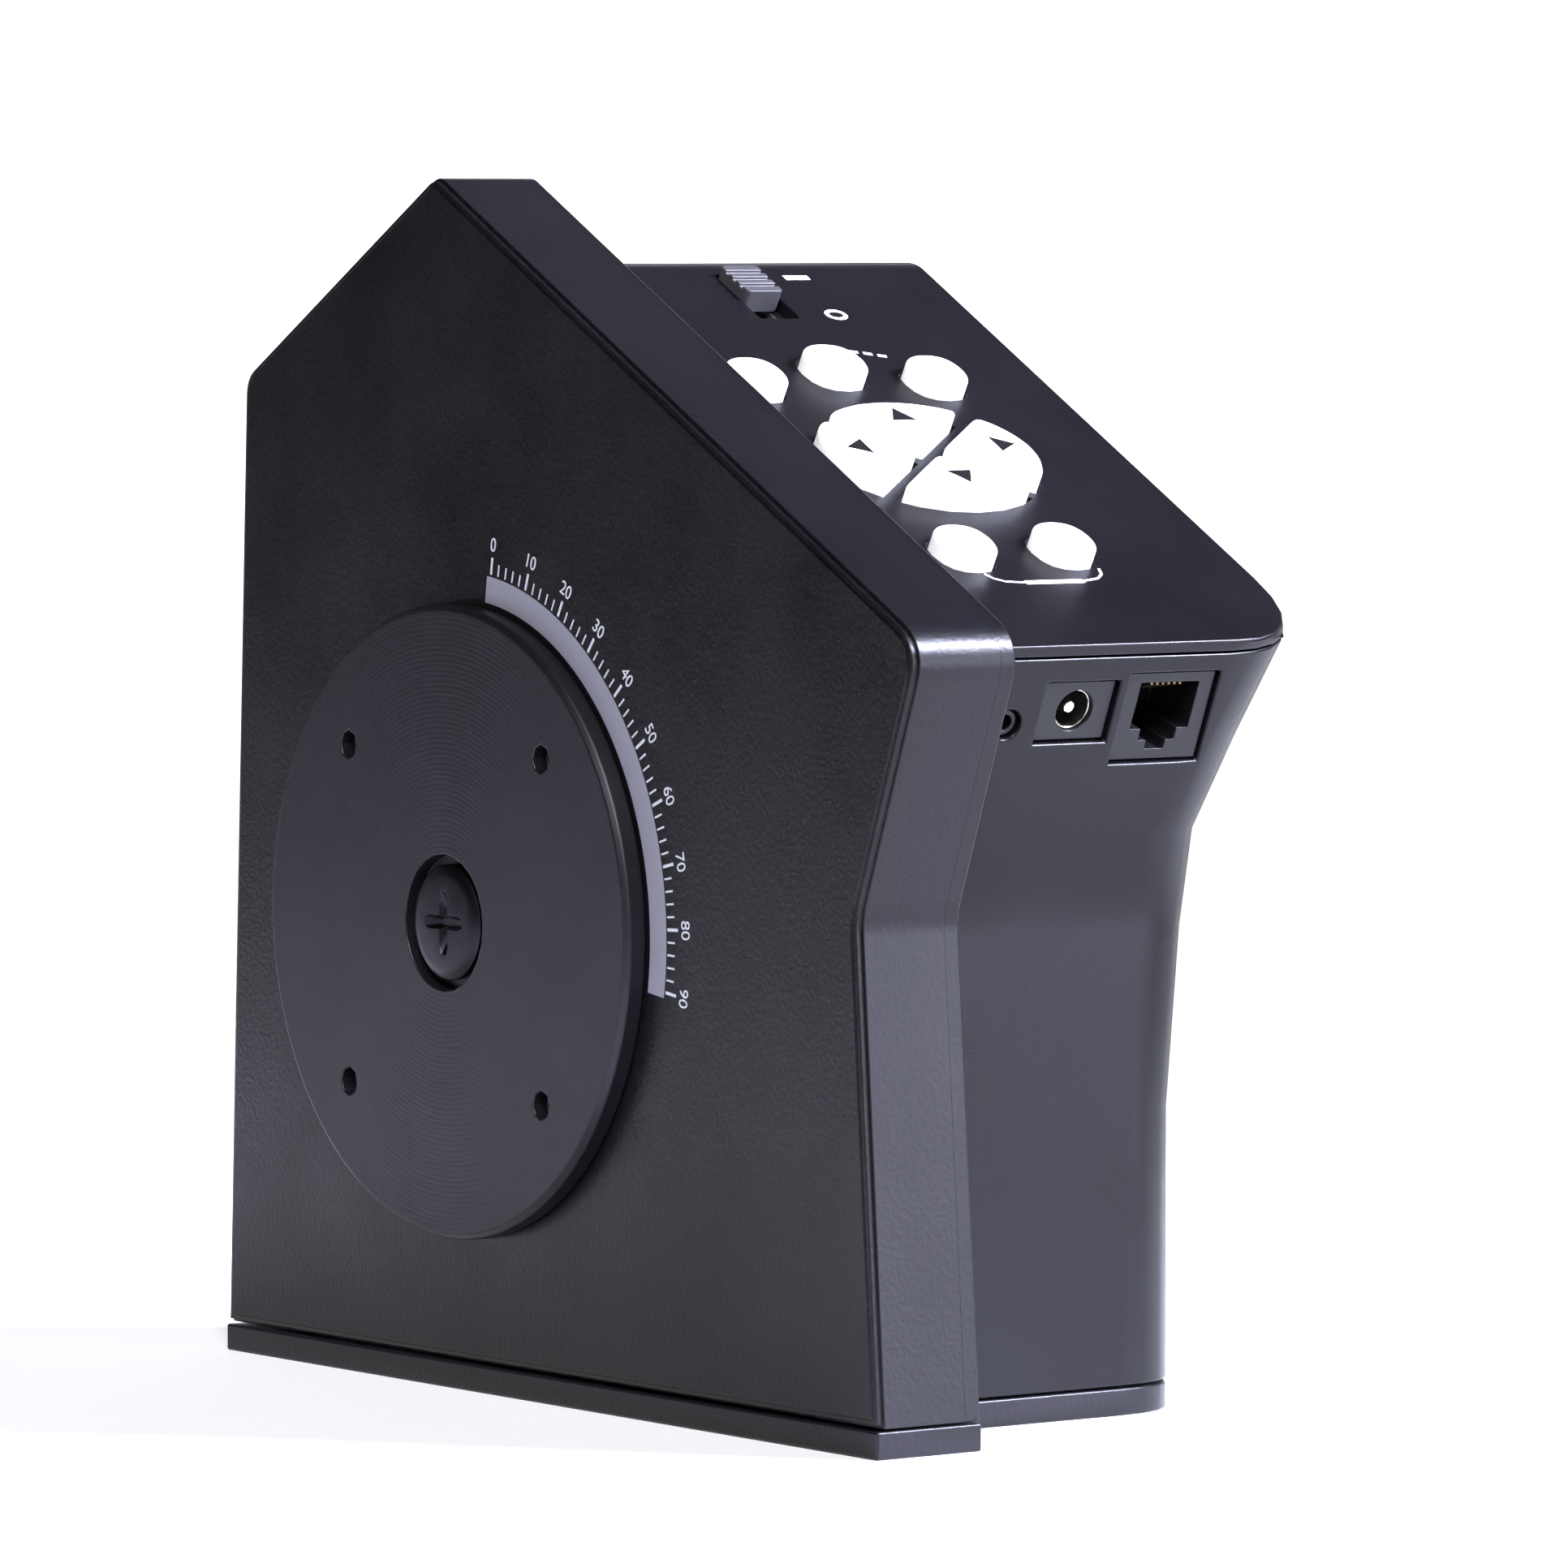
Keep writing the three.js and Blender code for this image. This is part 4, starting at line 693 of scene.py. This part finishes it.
# ------------------------------------------------------------------ altitude drive
# Behind the hub: two ball bearings, a stamped chassis plate, a hobbed brass wheel, and a can
# gearmotor whose pinion turns it.

# Sheet aluminium anodised black: dark grey and satin, with little of the metal showing.
chassis_anodised = moulded_plastic("aluminium_sheet_black", "#2a2a2e", "#46464c", 0.4, 0.5, 0.01)
softened("chassis_plate", 0.25, chassis_anodised, segments=2)
# Ground and polished steel: the smoothest metal here.
bearing_steel = plated("bearing_steel_polished", "#c4c6ca", "#a9abb0", 0.18, 0.3)
for node in ("inner_bearing", "outer_bearing"):
    softened(node, 0.2, bearing_steel, segments=2)
# Hobbed brass: warm yellow with a soft gleam.
hobbed_brass = plated("brass_hobbed", "#c7a24e", "#9c7c38", 0.3, 0.3)
softened("altitude_wheel", 0.1, hobbed_brass, segments=1)
for node in ("drive_pinion", "motor_shaft", "gearmotor"):
    softened(node, 0.12, zinc_steel, segments=1)

# ------------------------------------------------------------------ screws
# Zinc-plated pan-head screws with a cross recess: four through the case, four in the chassis,
# four under the keypad board, two in the main board, four in the neck plate and one in the hub.


def cross_recess(turn, half_width, length):
    """How far a cross-shaped recess reaches in one direction."""
    local = abs((turn + math.pi / 4) % (math.pi / 2) - math.pi / 4)
    if math.tan(local) <= half_width / length:
        return length / math.cos(local)
    return half_width / math.sin(local)


SCREW_SIDES = 48
HEAD_RISE = 1.8   # mm, but never over a third of the screw
CROSS_HALF_WIDTH, CROSS_REACH = 0.12, 0.56   # shares of the head's radius


def screw(node, out, material):
    """A pan-head screw in the place of its CAD solid, its head towards `out`."""
    points = np.array([v.co for v in frame["nodes"][node].data.vertices])
    along = points @ np.array(out)
    across = Vector((1, 0, 0)) if abs(out.x) < 0.9 else Vector((0, 1, 0))
    up = out.cross(across).normalized()
    across = up.cross(out).normalized()
    mid = Vector((points.max(0) + points.min(0)) / 2)
    mid -= out * mid.dot(out)
    top, end = along.max(), along.min()
    flat = points - np.outer(along, np.array(out)) - np.array(mid)
    spread = np.linalg.norm(flat, axis=1)
    head_r = spread.max()
    shank_r = spread[along < end + 0.1 * MM].max()
    rise = min(HEAD_RISE * MM, (top - end) / 3)
    turns = [2 * math.pi * i / SCREW_SIDES for i in range(SCREW_SIDES)]
    cross = [cross_recess(t, CROSS_HALF_WIDTH * head_r, CROSS_REACH * head_r) for t in turns]
    # Radii and levels up the screw: point, shank, then the head's underside, rim and crown.
    rounds = [(shank_r * 0.2, end), (shank_r * 0.75, end + 0.3 * MM), (shank_r, end + 0.8 * MM),
              (shank_r, top - rise), (head_r, top - rise), (head_r, top - rise * 0.45),
              (head_r * 0.93, top - rise * 0.18), (head_r * 0.78, top)]
    rings = [[r] * SCREW_SIDES + [level] for r, level in rounds]
    rings += [cross + [top], [r * 0.9 for r in cross] + [top - rise * 0.2],
              [r * 0.45 for r in cross] + [top - rise * 0.7]]
    mesh = bmesh.new()
    loops = []
    for ring in rings:
        loops.append([mesh.verts.new(mid + (across * math.cos(t) + up * math.sin(t)) * r + out * ring[-1])
                      for t, r in zip(turns, ring)])
    for a, b in zip(loops, loops[1:]):
        for i in range(SCREW_SIDES):
            j = (i + 1) % SCREW_SIDES
            mesh.faces.new((a[i], a[j], b[j], b[i]))
    mesh.faces.new(loops[0][::-1])
    mesh.faces.new(loops[-1])
    bmesh.ops.recalc_face_normals(mesh, faces=mesh.faces)
    data = bpy.data.meshes.new("fitted_" + node)
    mesh.to_mesh(data)
    mesh.free()
    body = frame["nodes"][node]["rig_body"]
    placed(data, "fitted_" + node, body, material, [node], smooth=30)


SIDE_OUT, DOWN = Vector((1, 0, 0)), Vector((0, 0, -1))
# Which way each kind's head faces.
HEADS = {
    "case": SIDE_OUT, "chassis": SIDE_OUT, "keypad": -OUT,
    "board": PORT_UP, "neck": DOWN, "hub": -SIDE_OUT}
# The hub's own screw is black-oxide steel: near black, with a soft oily shine.
black_oxide = plated("steel_black_oxide", "#2e2e33", "#1d1d21", 0.36, 0.4)
for node in sorted(n for n in frame["nodes"] if "screw" in n):
    screw(node, HEADS[node.split("_")[0]], black_oxide if node == "hub_screw" else zinc_steel)

# ------------------------------------------------------------------ floor, light and camera
# A pale matt paper sweep, three soft boxes, daylight, and a long lens from the front left, a
# little above.

# Matt white paper: rough and plain, with a trace of fibre.
paper, tree, place = new_material("studio_paper_pale")
fibre = add_node(tree, "TexNoise", {}, {"Vector": (place, "Object"), "Scale": 1 / (2 * MM), "Detail": 3.0})
tone = add_node(tree, "Mix", {"data_type": "RGBA"}, {
    "Factor": (fibre, "Fac"), 6: linear("#e9e9ec"), 7: linear("#efeff2")})
finish_material(tree, {"Base Color": (tone, 2), "Roughness": 0.9})
AIM = Vector(CAD_BOX[0]).lerp(Vector(CAD_BOX[1]), 0.5)
EYE = Vector((-0.8412, -1.1656, 0.1721))
AWAY = Vector((AIM.x - EYE.x, AIM.y - EYE.y, 0)).normalized()
BESIDE = Vector((AWAY.y, -AWAY.x, 0))

# The paper lies flat, then sweeps up behind: how far along, and how high, in metres. It is narrow,
# so that the side shell mirrors the dark room beyond it.
SWEEP_FRONT, SWEEP_START, SWEEP_R, SWEEP_TOP, SWEEP_HALF_WIDTH = -6.0, 1.4, 0.6, 0.9, 0.8
SWEEP_STEPS = 24
profile = [(SWEEP_FRONT, 0.0), (SWEEP_START, 0.0)]
profile += [(SWEEP_START + SWEEP_R * math.sin(t), SWEEP_R * (1 - math.cos(t)))
            for t in (math.radians(90 * i / SWEEP_STEPS) for i in range(1, SWEEP_STEPS + 1))]
profile += [(SWEEP_START + SWEEP_R, SWEEP_TOP)]
ground = bpy.data.meshes.new("floor")
edges = [AWAY * run + BESIDE * side + Vector((0, 0, rise))
         for run, rise in profile for side in (-SWEEP_HALF_WIDTH, SWEEP_HALF_WIDTH)]
ground.from_pydata(edges, [], [(2 * i, 2 * i + 1, 2 * i + 3, 2 * i + 2) for i in range(len(profile) - 1)])
ground.polygons.foreach_set("use_smooth", [True] * len(ground.polygons))
ground.materials.append(paper)
floor = bpy.data.objects.new("floor", ground)
bpy.context.scene.collection.objects.link(floor)


def soft_box(name, at, width, height, watts, colour, spread):
    """A soft box aimed at the part, with a grid that holds its light to so many degrees."""
    lamp = bpy.data.lights.new(name, "AREA")
    lamp.shape = "RECTANGLE"
    lamp.size, lamp.size_y = width, height
    lamp.energy = watts
    lamp.spread = math.radians(spread)
    lamp.color = linear(colour)[:3]
    holder = bpy.data.objects.new(name, lamp)
    holder.location = at
    holder.rotation_euler = (AIM - Vector(at)).to_track_quat("-Z", "Y").to_euler()
    bpy.context.scene.collection.objects.link(holder)


# A gridded box high on the right is what the rounded corner mirrors, and a long low one far off
# is what the front faces mirror. Daylight from the front left lights the paper and the keys.
soft_box("corner_box", (0.94, -0.90, 1.02), 0.5, 0.7, 7, "#e2e6ff", 24)
soft_box("front_box", (1.40, -1.94, 0.09), 1.4, 0.9, 40, "#e2e2ff", 180)
soft_box("rim_box", (0.9, 1.0, 0.9), 0.4, 0.8, 0.2, "#f4f2ff", 180)
daylight = bpy.data.lights.new("window", "SUN")
daylight.energy = 5.2
daylight.angle = math.radians(25)
window = bpy.data.objects.new("window", daylight)
window.rotation_euler = Vector((-0.5, -0.6, 0.65)).to_track_quat("Z", "Y").to_euler()
bpy.context.scene.collection.objects.link(window)

# The room: a white wall low on the right and behind, dark overhead and to the left, so the black
# mouldings keep their depth.
world = bpy.data.worlds.new("studio")
bpy.context.scene.world = world
world.use_nodes = True
room = world.node_tree
room.nodes.clear()
direction = add_node(room, "SeparateXYZ", {}, {"Vector": (add_node(room, "TexCoord"), "Generated")})
height = add_node(room, "MapRange", {"interpolation_type": "SMOOTHSTEP"}, {
    "Value": (direction, "Z"), "From Min": 0.1, "From Max": 0.5, "To Min": 0.8, "To Max": 0.08})
left = add_node(room, "MapRange", {"interpolation_type": "SMOOTHSTEP"}, {
    "Value": (direction, "X"), "From Min": -0.45, "From Max": 0.2, "To Min": 0.12, "To Max": 1.0})
glow = add_node(room, "Math", {"operation": "MULTIPLY"}, {0: (height, "Result"), 1: (left, "Result")})
wall = add_node(room, "Background", {}, {"Color": linear("#f4f4f8"), "Strength": (glow, "Value")})
add_node(room, "OutputWorld", {}, {"Surface": (wall, "Background")})

lens = bpy.data.cameras.new("camera")
lens.sensor_width = 36
lens.lens = 225
lens.clip_end = 50
camera = bpy.data.objects.new("camera", lens)
camera.location = EYE
camera.rotation_euler = (AIM - camera.location).to_track_quat("-Z", "Y").to_euler()
bpy.context.scene.collection.objects.link(camera)
bpy.context.scene.camera = camera
bpy.context.scene.view_settings.view_transform = "Standard"
